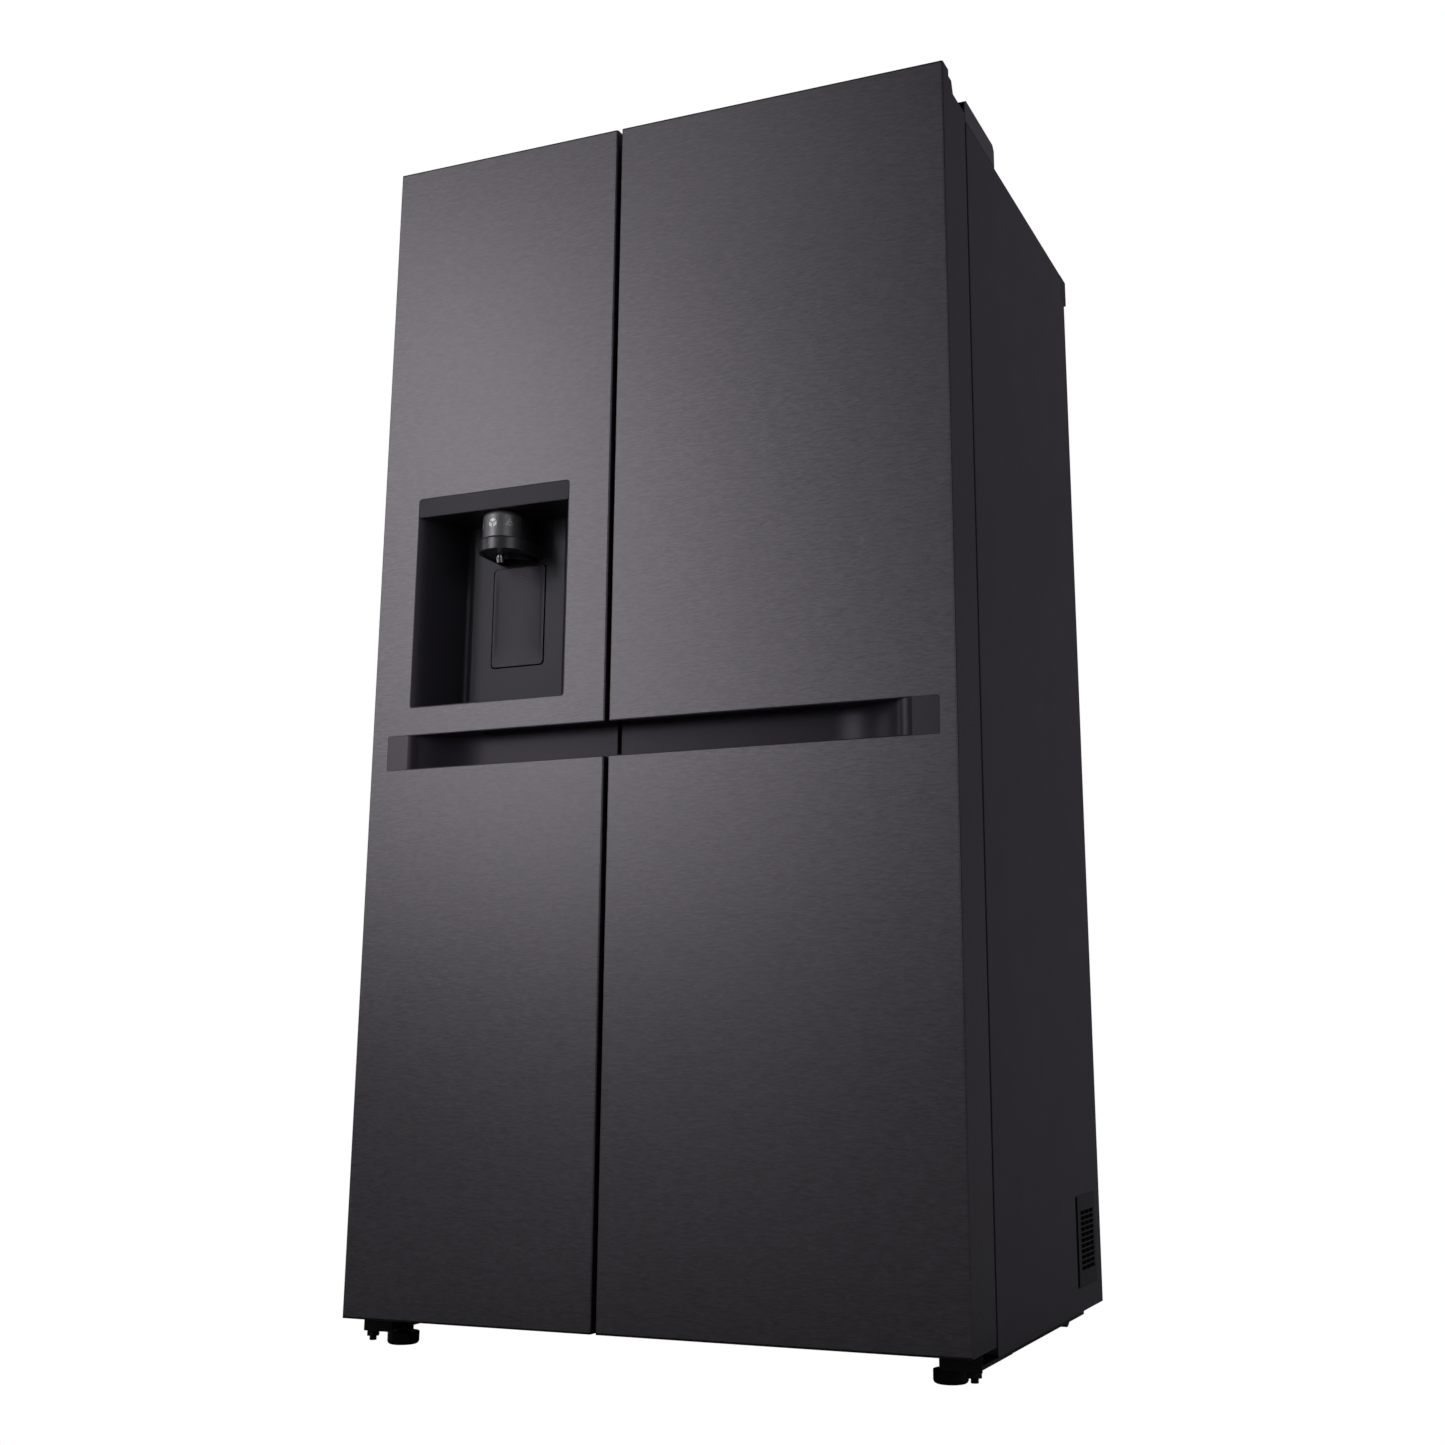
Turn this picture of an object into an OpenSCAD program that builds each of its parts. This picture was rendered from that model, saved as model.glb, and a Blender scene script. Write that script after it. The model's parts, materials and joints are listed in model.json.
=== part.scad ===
// Side-by-side refrigerator-freezer with a water and ice dispenser.
// Frame: X to the right seen from the front, Y to the back, Z up.
// Origin: centre of the footprint, on the floor. The doors face -Y.
// Depths named "d" are measured backwards from the doors' front face.

/* [Overall] */
// Width of the cabinet and of the doors together
width = 913; // [893:1:933]
// Height from the floor to the crest of the doors
height = 1790; // [1780:1:1830]
// Depth from the doors' front face to the rear rail
depth = 735; // [725:1:755]

/* [Doors] */
// Height of the doors' lower edge above the floor
door_bottom = 44; // [42:1:48]
// Thickness of a door's steel-clad body
door_depth = 108; // [106:1:108]
// Position of the gap between the doors
gap_x = -61; // [-64:1:-58]
// Width of the gap between the doors
gap_w = 7; // [6:0.5:9]
// Radius of a door's folded front edges
door_edge_r = 2.5; // [1.5:0.5:4]
// Distance of each hinge axis from the side of the cabinet
hinge_side = 14.5; // [14:0.5:16]
// Depth of both hinge axes
hinge_d = 57; // [55:1:57]
// Depth of the magnetic seal between door and cabinet
seal_d = 7.2; // [6.5:0.1:7.5]

/* [Handle grooves] */
// Height of the lower edge of the handle groove
groove_z = 813.5; // [800:0.5:825]
// Height of the groove's opening
groove_h = 52.5; // [45:0.5:56]
// Depth of the groove at the middle of the appliance
groove_depth = 42; // [36:1:44]
// Distance from the left door's outer side to its groove's end
groove_inset_left = 28; // [24:1:32]
// Distance from the right door's outer side to its groove's end
groove_inset_right = 24; // [24:1:32]
// Length of the flat pad at the left groove's outer end
groove_pad_left = 32; // [30:1:40]
// Length of the flat pad at the right groove's outer end
groove_pad_right = 42; // [34:1:45]

/* [Dispenser] */
// Width of the dispenser's frame
disp_w = 262; // [250:1:270]
// Height of the dispenser's frame
disp_h = 327; // [320:1:330]
// Height of the frame's lower edge above the floor
disp_z = 906.5; // [900:0.5:910]
// Position of the dispenser's centre line
disp_x = -262.5; // [-265:0.5:-260]
// Depth of the recess
disp_depth = 85; // [80:1:86]
// Height of the strip across the top of the recess
bezel_h = 30; // [26:1:34]
// Radius of the selector dial
dial_r = 30; // [26:1:31]

/* [Cabinet] */
// Depth of the cabinet's front flange
cab_front = 116; // [116:1:118]
// Depth of the cabinet's back panel
cab_back = 719; // [712:1:722]
// Height of the cabinet's top above the floor
cab_top = 1750; // [1745:1:1752]
// Height of the cabinet's lower edge above the floor
cab_bottom = 31; // [30:1:32]
// Thickness of the freezer's insulated side wall
freezer_wall = 58; // [54:1:60]
// Thickness of the refrigerator's insulated side wall
fridge_wall = 50; // [46:1:54]
// Thickness of the wall between the two compartments
mullion_w = 66; // [64:1:70]

/* [Hidden] */
$fn = 64;

eps = 0.5;                      // overrun of a cutting shape past the face it opens
front = -depth / 2;             // Y of the doors' front face
side = width / 2;               // X of the cabinet's right side
sheet = 1;                      // steel sheet of the doors
panel = 1.2;                    // steel sheet of the cabinet
liner_t = 2;                    // vacuum-formed liner
plastic_t = 2.5;                // moulded parts
run = 0.05;                     // radial clearance of a shaft in its bore
split = 0.4;                    // gap between neighbouring insulation boards

// doors: outer side, free side, groove inset and side of the appliance (-1 left, 1 right)
left_free = gap_x - gap_w / 2;
right_free = gap_x + gap_w / 2;
hinge_x = side - hinge_side;
door_back = door_depth;
cap_h = 16;                     // height of the doors' plastic end caps
cap_lip = 2.6;                  // edge of the caps seen above and below the front sheet
cap_lip_d = 3;                  // depth of that edge
top_low = height - 28;          // top of a door behind its crest
crest = [[0, height], [29, height], [29, height - 10], [43, height - 10], [50, top_low]];

// inside of the cabinet
fz_x0 = -side + freezer_wall;
fz_x1 = gap_x - mullion_w / 2 - 1;
fr_x0 = gap_x + mullion_w / 2 + 1;
fr_x1 = side - fridge_wall;
room_z0 = 97;
step_z = 245;
room_z1 = cab_top - 60;
room_back = cab_back - 60;
step_d = 428;
machine_d = step_d + 50;        // front of the machine compartment
machine_z1 = step_z - 45;       // ceiling of the machine compartment
floor_t = 3;
pan_z = cab_bottom + floor_t;   // top of the base plate

// feet, rollers and hinges
foot_x_left = -419;
foot_x_right = 398.5;
foot_d = 99;
foot_r = 22.6;
foot_h = 17;
stem_r = 6;
plate_z0 = cab_bottom - 5;
pin_r = 5;
roller_r = 20;
roller_w = 22;
roller_d = 640;
axle_r = 4;

// handle grooves
groove_z1 = groove_z + groove_h;
pocket_h = 20;
pocket_d0 = 14;
pocket_end = 150;               // distance from a groove's end to its finger pocket
groove_run = 122;               // length over which a groove falls to its full depth
lip_r = 34;                     // radius of the convex start of that fall
groove_turn = 2 * atan(groove_depth / groove_run);
fall_r = groove_run / sin(groove_turn) - lip_r;

// dispenser
disp_z1 = disp_z + disp_h;
bezel_z = disp_z1 - bezel_h;
disp_lip = 1.5;                 // width of the frame's front face
flare = 12;                     // chamfer from the frame into the recess
draft = 23;                     // slope of the recess's side walls, in degrees
fillet_r = 14;                  // radius between side wall and back
dial_d = dial_r + 1.5;
dial_z0 = 1161;
ring_r = dial_r + 8.5;
ring_d = ring_r + 0.6;
ring_z0 = 1141.5;
spindle_r = 8;
chute_r = 29;
chute_d = 73;
nozzle_d = 27;
nozzle_r = 6;
chute_z0 = 1136.5;
paddle_x = disp_x + 1.2;
paddle_w = 88.6;
paddle_z0 = 978;
paddle_z1 = 1132.5;
paddle_t = 4;
paddle_axis = [disp_depth + 6, paddle_z1 - 7];
paddle_pin_r = 2.5;
paddle_gap = 2.1;
pocket_back = disp_depth + 21.5;

// door liners
dyke_d = 150;
dyke_w = 20;
dyke_z0 = 105;
dyke_z1 = room_z1 - 8;
fz_dyke = [fz_x0 + 6.5, fz_x1 - 17];
fr_dyke = [fr_x0 + 17, fr_x1 - 14];
bin_d = 205;
freezer_bin_z = [470, 690];
fridge_bin_z = [460, 720, 990, 1260, 1500];
ice_x1 = fz_x1 - 61;

// shelves and drawers
shelf_d0 = 262;
shelf_t = 4;
freezer_shelf_z = [640, 860, 1100, 1360];
fridge_shelf_z = [620, 850, 1100, 1370];
cover_d = 606;
drawer_d0 = 215;
lower_drawer = [room_z0 + 8, step_z - 7];
upper_drawer = [step_z + 5, 432];
drawer_lid_z = 440;

// machine compartment
vent_d = [558, 684];
vent_z = [65, 197];
fan_r = 68;
fan_x = -110;
fan_axis_d = 600;
fan_axis_z = 116;
evap_fan = [(fz_x0 + fz_x1) / 2, 1030];
evap_fan_r = 52;
inlet_x = -300;
inlet_z = 150;
inlet_r = 13.2;

// A box given by its X, depth and Z limits.
module block(x, d, z)
    translate([x[0], front + d[0], z[0]]) cube([x[1] - x[0], d[1] - d[0], z[1] - z[0]]);

// An outline of [d, z] points, extruded along X.
module profile(x, points)
    translate([x[0], front, 0])
        rotate([90, 0, 90]) linear_extrude(x[1] - x[0]) polygon(points);

// An outline of [x, d] points, extruded upwards.
module plan(z, points)
    translate([0, front, z[0]]) linear_extrude(z[1] - z[0]) polygon(points);

// An upright cylinder.
module post(x, d, z, r)
    translate([x, front + d, z[0]]) cylinder(h = z[1] - z[0], r = r);

// A cylinder along X.
module rod_x(x, d, z, r)
    translate([x[0], front + d, z]) rotate([0, 90, 0]) cylinder(h = x[1] - x[0], r = r);

// A cylinder along Y.
module rod_y(x, d, z, r)
    translate([x, front + d[0], z]) rotate([-90, 0, 0]) cylinder(h = d[1] - d[0], r = r);

// A box whose four edges along Y are rounded.
module window(x, d, z, r)
    translate([x[0], front + d[1], z[0]]) rotate([90, 0, 0]) linear_extrude(d[1] - d[0])
        union() {
            translate([r, 0]) square([x[1] - x[0] - 2 * r, z[1] - z[0]]);
            translate([0, r]) square([x[1] - x[0], z[1] - z[0] - 2 * r]);
            for (u = [r, x[1] - x[0] - r], v = [r, z[1] - z[0] - r])
                translate([u, v]) circle(r);
        }

// An open-topped tray.
module tray(x, d, z, wall, base)
    difference() {
        block(x, d, z);
        block([x[0] + wall, x[1] - wall], [d[0] + wall, d[1] - wall], [z[0] + base, z[1] + eps]);
    }

// ---------------------------------------------------------------- cabinet

module side_panel(s)
    color("#2b292e") difference() {
        block(s < 0 ? [-side, -side + panel] : [side - panel, side],
              [cab_front, cab_back], [cab_bottom, cab_top]);
        block(s < 0 ? [-side - eps, -side + panel + eps] : [side - panel - eps, side + eps],
              vent_d, vent_z);
        block(s < 0 ? [-side - eps, -side + panel + eps] : [side - panel - eps, side + eps],
              [697, cab_back + eps], [1706, cab_top + eps]);
    }
module side_panel_left() side_panel(-1);
module side_panel_right() side_panel(1);

module top_panel()
    color("#2b292e")
        block([-side + panel, side - panel], [cab_front, 697], [cab_top - panel, cab_top]);

module back_panel()
    color("#6b6b6e")
        block([-side + panel, side - panel], [cab_back - panel, cab_back], [machine_z1, 1706]);

// Plate under the cabinet, side rails, roller forks and their axles.
module base_frame()
    color("#1c1c1e") {
        difference() {
            block([-side + panel, side - panel], [cab_front + 2, cab_back - 4], [cab_bottom, pan_z]);
            for (s = [-1, 1])
                block([s * 407 - 14, s * 407 + 14], [roller_d - 24, roller_d + 24],
                      [cab_bottom - eps, pan_z + eps]);
        }
        for (s = [-1, 1]) {
            block(s < 0 ? [-435, -430] : [430, 435], [190, 680], [15, cab_bottom]);
            block(s < 0 ? [-384, -379] : [379, 384], [190, 680], [15, cab_bottom]);
            rod_x(s < 0 ? [-435, -379] : [379, 435], roller_d, roller_r, axle_r);
        }
    }

// Foam boards of the cabinet's walls, each a separate solid.
module cabinet_insulation()
    color("#d9c27a") {
        xs = [-side + panel, fz_x0 - liner_t, fr_x1 + liner_t, side - panel];
        d0 = cab_front + panel;
        d1 = cab_back - panel;
        z1 = cab_top - panel;
        for (x = [[xs[0], xs[1]], [xs[2], xs[3]]]) {
            block(x, [d0, d1 - 22], [machine_z1 + split, z1]);
            block(x, [d0, machine_d], [pan_z, machine_z1]);
        }
        inner = [xs[1] + split, xs[2] - split];
        block(inner, [d0, 696], [room_z1 + liner_t, z1]);
        block(inner, [room_back + liner_t, d1], [step_z, room_z1 + liner_t - split]);
        block(inner, [d0, step_d + liner_t], [pan_z, room_z0 - liner_t]);
        block(inner, [step_d + liner_t + split, machine_d], [pan_z, machine_z1]);
        block(inner, [step_d + liner_t + split, d1], [machine_z1 + split, step_z - liner_t]);
        divider = [fz_x1 + liner_t, fr_x0 - liner_t];
        block(divider, [d0, room_back + liner_t - split], [step_z - liner_t + split, room_z1 - split]);
        block(divider, [d0, step_d + liner_t - split], [room_z0, step_z - liner_t]);
    }

// Steel flange around and between the two compartments.
module front_flange()
    color("#2b292e") difference() {
        block([-side + panel, side - panel], [cab_front, cab_front + panel],
              [cab_bottom + floor_t, cab_top - panel]);
        for (x = [[fz_x0, fz_x1], [fr_x0, fr_x1]])
            block(x, [cab_front - eps, cab_front + panel + eps], [room_z0, room_z1]);
    }

// Vacuum-formed lining of one compartment, stepped over the machine compartment.
function room_outline(t, d0) = [
    [d0, room_z0 - t], [step_d + t, room_z0 - t], [step_d + t, step_z - t],
    [room_back + t, step_z - t], [room_back + t, room_z1 + t], [d0, room_z1 + t]
];
module liner(x)
    color("#e9ebec") difference() {
        profile([x[0] - liner_t, x[1] + liner_t], room_outline(liner_t, cab_front + panel));
        profile(x, room_outline(0, cab_front));
    }
module freezer_liner() liner([fz_x0, fz_x1]);
module fridge_liner() liner([fr_x0, fr_x1]);

// Louvred grilles let into both side panels.
module side_vents()
    color("#19181b") {
        rows = 11;
        pitch = 8;
        for (s = [-1, 1])
            mirror([s < 0 ? 1 : 0, 0, 0]) difference() {
                block([side - 8, side], [vent_d[0] + 0.3, vent_d[1] - 0.3],
                      [vent_z[0] + 0.3, vent_z[1] - 0.3]);
                block([side - 6.5, side + eps], [vent_d[0] + 1.5, vent_d[0] + 14],
                      [vent_z[0] + 1.5, vent_z[1] - 1.5]);
                for (i = [0:rows - 1], c = [0:2])
                    block([side - 9, side + eps], [590 + c * 28, 590 + c * 28 + 26],
                          [88 + i * pitch, 88 + i * pitch + 5.7]);
            }
    }

// Plastic rail along the top of the back, open underneath.
module rear_rail()
    color("#222124") difference() {
        block([-side, side], [697, depth], [1706, 1751]);
        block([-side + 3, side - 3], [697 - eps, depth - 3], [1706 - eps, 1748]);
    }

// Louvred cover of the machine compartment.
module machine_cover()
    color("#3a3a3d") difference() {
        block([-side + panel, side - panel], [cab_back - 3, cab_back],
              [cab_bottom + floor_t, machine_z1 - split]);
        for (x = [-400, 130, 270], i = [0:8])
            block([x, x + 70], [cab_back - 4, cab_back + eps], [60 + i * 13, 66 + i * 13]);
        rod_y(inlet_x, [cab_back - 4, cab_back + eps], inlet_z, inlet_r + 1);
    }

// Cap over an upper hinge, chamfered at its back end.
module hinge_cover(s)
    color("#2f2e32") mirror([s < 0 ? 1 : 0, 0, 0]) difference() {
        profile([side - 92, side], [[112, cab_top], [270, cab_top], [270, 1779], [262, 1787],
                                    [118, 1787], [112, 1783]]);
        profile([side - 92 + plastic_t, side - plastic_t],
                [[111, cab_top - eps], [270 - plastic_t, cab_top - eps],
                 [270 - plastic_t, 1778], [261, 1787 - plastic_t], [111, 1787 - plastic_t]]);
        block([side - 1, side + 1], [111, 268], [cab_top - 1, cab_top + 1.5]);
    }
module hinge_cover_left() hinge_cover(-1);
module hinge_cover_right() hinge_cover(1);

// Cranked steel plates that carry the doors' upper pins.
module upper_hinges()
    color("#8d8f93") {
        arm_z = [top_low + 1.5, top_low + 5.5];
        for (s = [-1, 1])
            mirror([s < 0 ? 1 : 0, 0, 0]) {
                block([side - 80, side - 12], [128, 240], [cab_top, cab_top + 4]);
                block([side - 68, side - 19], [122, 128], [cab_top, arm_z[1]]);
                plan(arm_z, [[side - 68, 122.1], [side - 68, 100], [hinge_x - 6.5, hinge_d],
                             [hinge_x + 5, hinge_d + 2], [hinge_x - 4, hinge_d + 18],
                             [side - 19, 122.1]]);
                post(hinge_x, hinge_d, arm_z, 6.5);
                post(hinge_x, hinge_d, [top_low - cap_h + 0.5, arm_z[1]], pin_r);
                for (d = [150, 215])
                    post(side - 46, d, [cab_top + 4, cab_top + 9], 8);
            }
    }

// Floor plates with the lower pins, their nuts and the feet's collars.
module lower_hinges()
    color("#151516")
        for (s = [-1, 1])
            mirror([s < 0 ? 1 : 0, 0, 0]) {
                foot_x = s < 0 ? -foot_x_left : foot_x_right;
                plate_x = [401, s < 0 ? 448 : side - 0.5];
                difference() {
                    union() {
                        block(plate_x, [42, 185], [plate_z0, cab_bottom - 0.1]);
                        block(plate_x, [42, 45], [plate_z0 - 3, door_bottom - 1.5]);
                        post(foot_x, foot_d, [foot_h + 2, cab_bottom - 0.1], 14);
                    }
                    post(foot_x, foot_d, [foot_h, cab_bottom + eps], stem_r + run);
                }
                post(hinge_x, hinge_d, [9, door_bottom + 14], pin_r);
                post(hinge_x, hinge_d, [cab_bottom - 0.1, door_bottom - 1], 8);
                translate([hinge_x, front + hinge_d, 15]) cylinder(h = plate_z0 - 15, r = 9.5, $fn = 6);
            }

// Hermetic compressor: a domed can on four rubber-mounted feet.
module compressor()
    color("#111112") {
        post(175, fan_axis_d, [pan_z + 12, pan_z + 92], 66);
        translate([175, front + fan_axis_d, pan_z + 92])
            rotate_extrude() intersection() {
                circle(66);
                square([66, 52]);
            }
        block([175 - 85, 175 + 85], [fan_axis_d - 50, fan_axis_d + 50], [pan_z + 8, pan_z + 12.1]);
        for (x = [175 - 75, 175 + 75], d = [fan_axis_d - 40, fan_axis_d + 40])
            post(x, d, [pan_z, pan_z + 8.1], 9);
    }

// Finned condenser with the bearing pin of its fan.
module condenser()
    color("#6f7275") {
        rows = 4;
        fins = 18;
        for (i = [0:fins - 1])
            block([-372 + i * 12, -370.8 + i * 12], [520, 690], [pan_z + 26, pan_z + 142]);
        for (r = [0:rows - 1], c = [0:2])
            rod_x([-380, -158], 548 + c * 56, pan_z + 42 + r * 28, 4);
        block([-160, -156], [520, 690], [pan_z, pan_z + 150]);
        rod_x([-156.1, fan_x + 13], fan_axis_d, fan_axis_z, 3);
    }

module condenser_fan()
    color("#38383b") fan_x_axis(fan_x, fan_axis_d, fan_axis_z, fan_r);

// Five-bladed fan on an X axis.
module fan_x_axis(x, d, z, r)
    translate([x, front + d, z]) rotate([0, 90, 0]) fan(r);

// Five pitched blades on a hub with a bore, centred on the origin, turning about Z.
module fan(r)
    difference() {
        union() {
            translate([0, 0, -11]) cylinder(h = 22, r = 18);
            for (a = [0:72:288])
                rotate([0, 0, a]) translate([15, 0, 0]) rotate([28, 0, 0])
                    translate([0, -16, -1]) cube([r - 18, 32, 2]);
        }
        translate([0, 0, -12]) cylinder(h = 24, r = 3 + run);
    }

module drain_tray()
    color("#2a2a2c") tray([-60, 80], [520, 700], [pan_z, pan_z + 34], 2.5, 3);

// Inlet valve with the threaded stub for the water hose.
module water_valve()
    color("#c8c9cb") {
        block([inlet_x - 22, inlet_x + 22], [694, cab_back - 3.2], [inlet_z - 20, inlet_z + 30]);
        rod_y(inlet_x, [cab_back - 3.3, depth - 2], inlet_z, inlet_r);
    }

module control_box()
    color("#c9cacc") block([290, 430], [500, 540], [pan_z, pan_z + 120]);

// Cover of the evaporator with air slots and the bearing pin of the freezer's fan.
module freezer_air_cover()
    color("#e4e6e8") {
        difference() {
            block([fz_x0 + 0.5, fz_x1 - 0.5], [cover_d, cover_d + 3], [step_z + 0.5, room_z1 - 0.5]);
            for (i = [0:4], z = [560, 780, 1250, 1500])
                block([-370 + i * 50, -335 + i * 50], [cover_d - eps, cover_d + 3 + eps], [z, z + 8]);
            for (a = [0:30:330])
                translate([evap_fan[0], front + cover_d - eps, evap_fan[1]]) rotate([0, a, 0])
                    translate([18, 0, -3]) cube([26, 4, 6]);
        }
        rod_y(evap_fan[0], [cover_d + 2.9, cover_d + 38], evap_fan[1], 3);
    }

module evaporator()
    color("#b9bcc0") {
        for (i = [0:13])
            block([-374 + i * 19, -372.5 + i * 19], [616, 654], [430, 900]);
        for (r = [0:7], d = [626, 644])
            rod_x([-382, -112], d, 460 + r * 58, 4);
    }

module evaporator_fan()
    color("#d5d7d9") translate([evap_fan[0], front + cover_d + 26, evap_fan[1]])
        rotate([-90, 0, 0]) fan(evap_fan_r);

// Glass shelves with a moulded front rim.
module shelves(x, d1, heights)
    color("#cfd8da", 0.6)
        for (z = heights)
            union() {
                block([x[0] + 1, x[1] - 1], [shelf_d0, d1], [z, z + shelf_t]);
                block([x[0] + 1, x[1] - 1], [shelf_d0, shelf_d0 + 12], [z - 6, z + shelf_t + 3]);
            }
module freezer_shelves() shelves([fz_x0, fz_x1], cover_d - 3, concat([drawer_lid_z], freezer_shelf_z));
module fridge_shelves() shelves([fr_x0, fr_x1], room_back - 22, concat([drawer_lid_z], fridge_shelf_z));

// Air duct up the back of the refrigerator.
module fridge_air_tower()
    color("#dfe1e3") difference() {
        block([130, 250], [room_back - 18, room_back], [drawer_lid_z + 30, room_z1 - 60]);
        for (z = [520:110:1520])
            block([148, 232], [room_back - 18 - eps, room_back - 12], [z, z + 10]);
    }

// Light bars under both ceilings.
module lamps()
    color("#fafaf5")
        for (x = [[fz_x0 + 60, fz_x1 - 60], [fr_x0 + 80, fr_x1 - 80]])
            block(x, [300, 340], [room_z1 - 9, room_z1]);

// ---------------------------------------------------------------- doors

// Steel skin of a door: a front sheet folded back along both sides.
module door_skin(x)
    color("#56545a") difference() {
        intersection() {
            translate([0, front, door_bottom]) linear_extrude(height - door_bottom)
                difference() {
                    folded_outline(x, 0, door_edge_r);
                    folded_outline([x[0] + sheet, x[1] - sheet], sheet, door_edge_r - sheet);
                }
            profile([x[0] - 1, x[1] + 1],
                    concat([[cap_lip_d, door_bottom], [cap_lip_d, door_bottom + cap_lip],
                            [0, door_bottom + cap_lip], [0, height - cap_lip],
                            [cap_lip_d, height - cap_lip], [cap_lip_d, height]],
                           [for (i = [1:len(crest) - 1]) crest[i]],
                           [[door_back, top_low], [door_back, door_bottom]]));
        }
        children();
    }

// Plan of a door with rounded front corners, from depth d to the door's back.
module folded_outline(x, d, r) {
    translate([x[0], d + r]) square([x[1] - x[0], door_back - d - r + (d > 0 ? 1 : 0)]);
    translate([x[0] + r, d]) square([x[1] - x[0] - 2 * r, r + 1]);
    for (u = [x[0] + r, x[1] - r])
        translate([u, d + r]) circle(r);
}

// The space inside a door's skin.
module skin_inside(x)
    translate([0, front, 0]) linear_extrude(height + 1)
        folded_outline([x[0] + sheet, x[1] - sheet], sheet, door_edge_r - sheet);

// Plastic caps at the top and bottom of a door, with the bores of the hinge pins.
module door_caps(x, s)
    color("#1a191c") {
        inside = [x[0] + sheet, x[1] - sheet];
        difference() {
            union() {
                intersection() {
                    translate([0, front, height - cap_lip]) linear_extrude(cap_lip - 0.6)
                        folded_outline(x, 0, door_edge_r);
                    block(x, [0, cap_lip_d - 0.05], [height - cap_lip, height]);
                }
                intersection() {
                    profile(inside, concat([[sheet, top_low - cap_h], [sheet, height - 0.6]],
                                           [for (i = [1:len(crest) - 1]) crest[i] - [0, 0.6]],
                                           [[door_back, top_low - 0.6], [door_back, top_low - cap_h]]));
                    skin_inside(x);
                }
            }
            post(s * hinge_x, hinge_d, [top_low - cap_h - eps, top_low + eps], pin_r + run);
        }
        difference() {
            union() {
                intersection() {
                    block(inside, [sheet, door_back], [door_bottom, door_bottom + cap_h]);
                    skin_inside(x);
                }
                intersection() {
                    translate([0, front, door_bottom]) linear_extrude(cap_lip)
                        folded_outline(x, 0, door_edge_r);
                    block(x, [0, cap_lip_d - 0.05], [door_bottom, door_bottom + cap_lip]);
                }
            }
            post(s * hinge_x, hinge_d, [door_bottom - eps, door_bottom + cap_h + eps], pin_r + run);
        }
    }

// Vacuum-formed inner lining of a door, with the raised frame that carries the bins.
module door_liner(x, dyke)
    color("#eceeef") difference() {
        union() {
            block([x[0] + 2.5, x[1] - 2.5], [door_back, door_back + liner_t],
                  [door_bottom + 10, top_low - 14]);
            block(dyke, [door_back, dyke_d], [dyke_z0, dyke_z1]);
        }
        block([dyke[0] + dyke_w, dyke[1] - dyke_w], [door_back + liner_t, dyke_d + eps],
              [dyke_z0 + dyke_w, dyke_z1 - dyke_w]);
        children();
    }

// Magnetic seal: a soft ring lying on the door's back.
module door_seal(x)
    color("#3b3b3e") difference() {
        block([x[0] + 9, x[1] - 9], [door_back + liner_t, door_back + seal_d],
              [door_bottom + 12, top_low - 16]);
        block([x[0] + 25, x[1] - 25], [door_back, door_back + seal_d + eps],
              [door_bottom + 28, top_low - 32]);
    }

// Bins hooked between the sides of a door liner's frame.
module door_bins(dyke, heights)
    color("#dfe6e8", 0.7)
        for (z = heights)
            tray([dyke[0] + dyke_w + 0.5, dyke[1] - dyke_w - 0.5], [door_back + liner_t + 0.3, bin_d],
                 [z, z + 110], plastic_t, plastic_t);

// Fall of a handle groove as [distance from its pad, depth]: a convex arc, then a concave one.
lip_steps = 7;
fall_steps = 12;
groove_fall = concat(
    [[-1, -0.04]],
    [for (i = [1:lip_steps])
        let (a = groove_turn * i / lip_steps) [lip_r * sin(a), lip_r * (1 - cos(a))]],
    [for (i = [1:fall_steps])
        let (a = groove_turn * (1 - i / fall_steps))
        [groove_run - fall_r * sin(a), groove_depth - fall_r * (1 - cos(a))]]
);

// Where a groove's end pad stops: the pads differ, because the doors' widths do.
function pad_edge(x_end, s, t) = x_end - s * ((s < 0 ? groove_pad_left : groove_pad_right) - t);

// Plan of a groove as [x, d] points, from the pad at x_end to the free side x_free,
// with s the side of the appliance and t the thickness added behind it.
function groove_plan(x_end, x_free, s, d0, t) = concat(
    [[x_free, d0], [pad_edge(x_end, s, t), d0]],
    [for (i = [0:len(groove_fall) - 1])
        [pad_edge(x_end, s, t) - s * groove_fall[i][0], groove_fall[i][1] + t]],
    [[x_free, groove_depth + t]]
);

// Hollow of a groove, with the finger pocket above it.
module groove_hollow(x_end, x_free, s) {
    plan([groove_z + 1.2, groove_z1 - 1.2], groove_plan(x_end, x_free - s * 2, s, -1, 0));
    pocket = [x_end - s * pocket_end, x_free - s * 2];
    block([min(pocket), max(pocket)], [pocket_d0, groove_depth - 2],
          [groove_z1 - 5, groove_z1 + pocket_h - 2]);
}

// Moulded handle groove, flush with the skin, its outer end a flat pad.
module handle_insert(x_end, x_free, s)
    color("#39383b") difference() {
        union() {
            lip = [x_end - s * 0.3, x_free];
            window([min(lip), max(lip)], [0, 3], [groove_z + 0.3, groove_z1 - 0.3], 3);
            plan([groove_z + 0.3, groove_z1 - 0.3], groove_plan(x_end, x_free, s, sheet, 2));
            plan([groove_z - 2, groove_z1 + 2], groove_plan(x_end, x_free + s * sheet, s, sheet, 2));
            pocket = [x_end - s * (pocket_end - 2), x_free + s * sheet];
            block([min(pocket), max(pocket)], [pocket_d0 - 2, groove_depth],
                  [groove_z1 + 1, groove_z1 + pocket_h]);
        }
        groove_hollow(x_end, x_free, s);
    }

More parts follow.
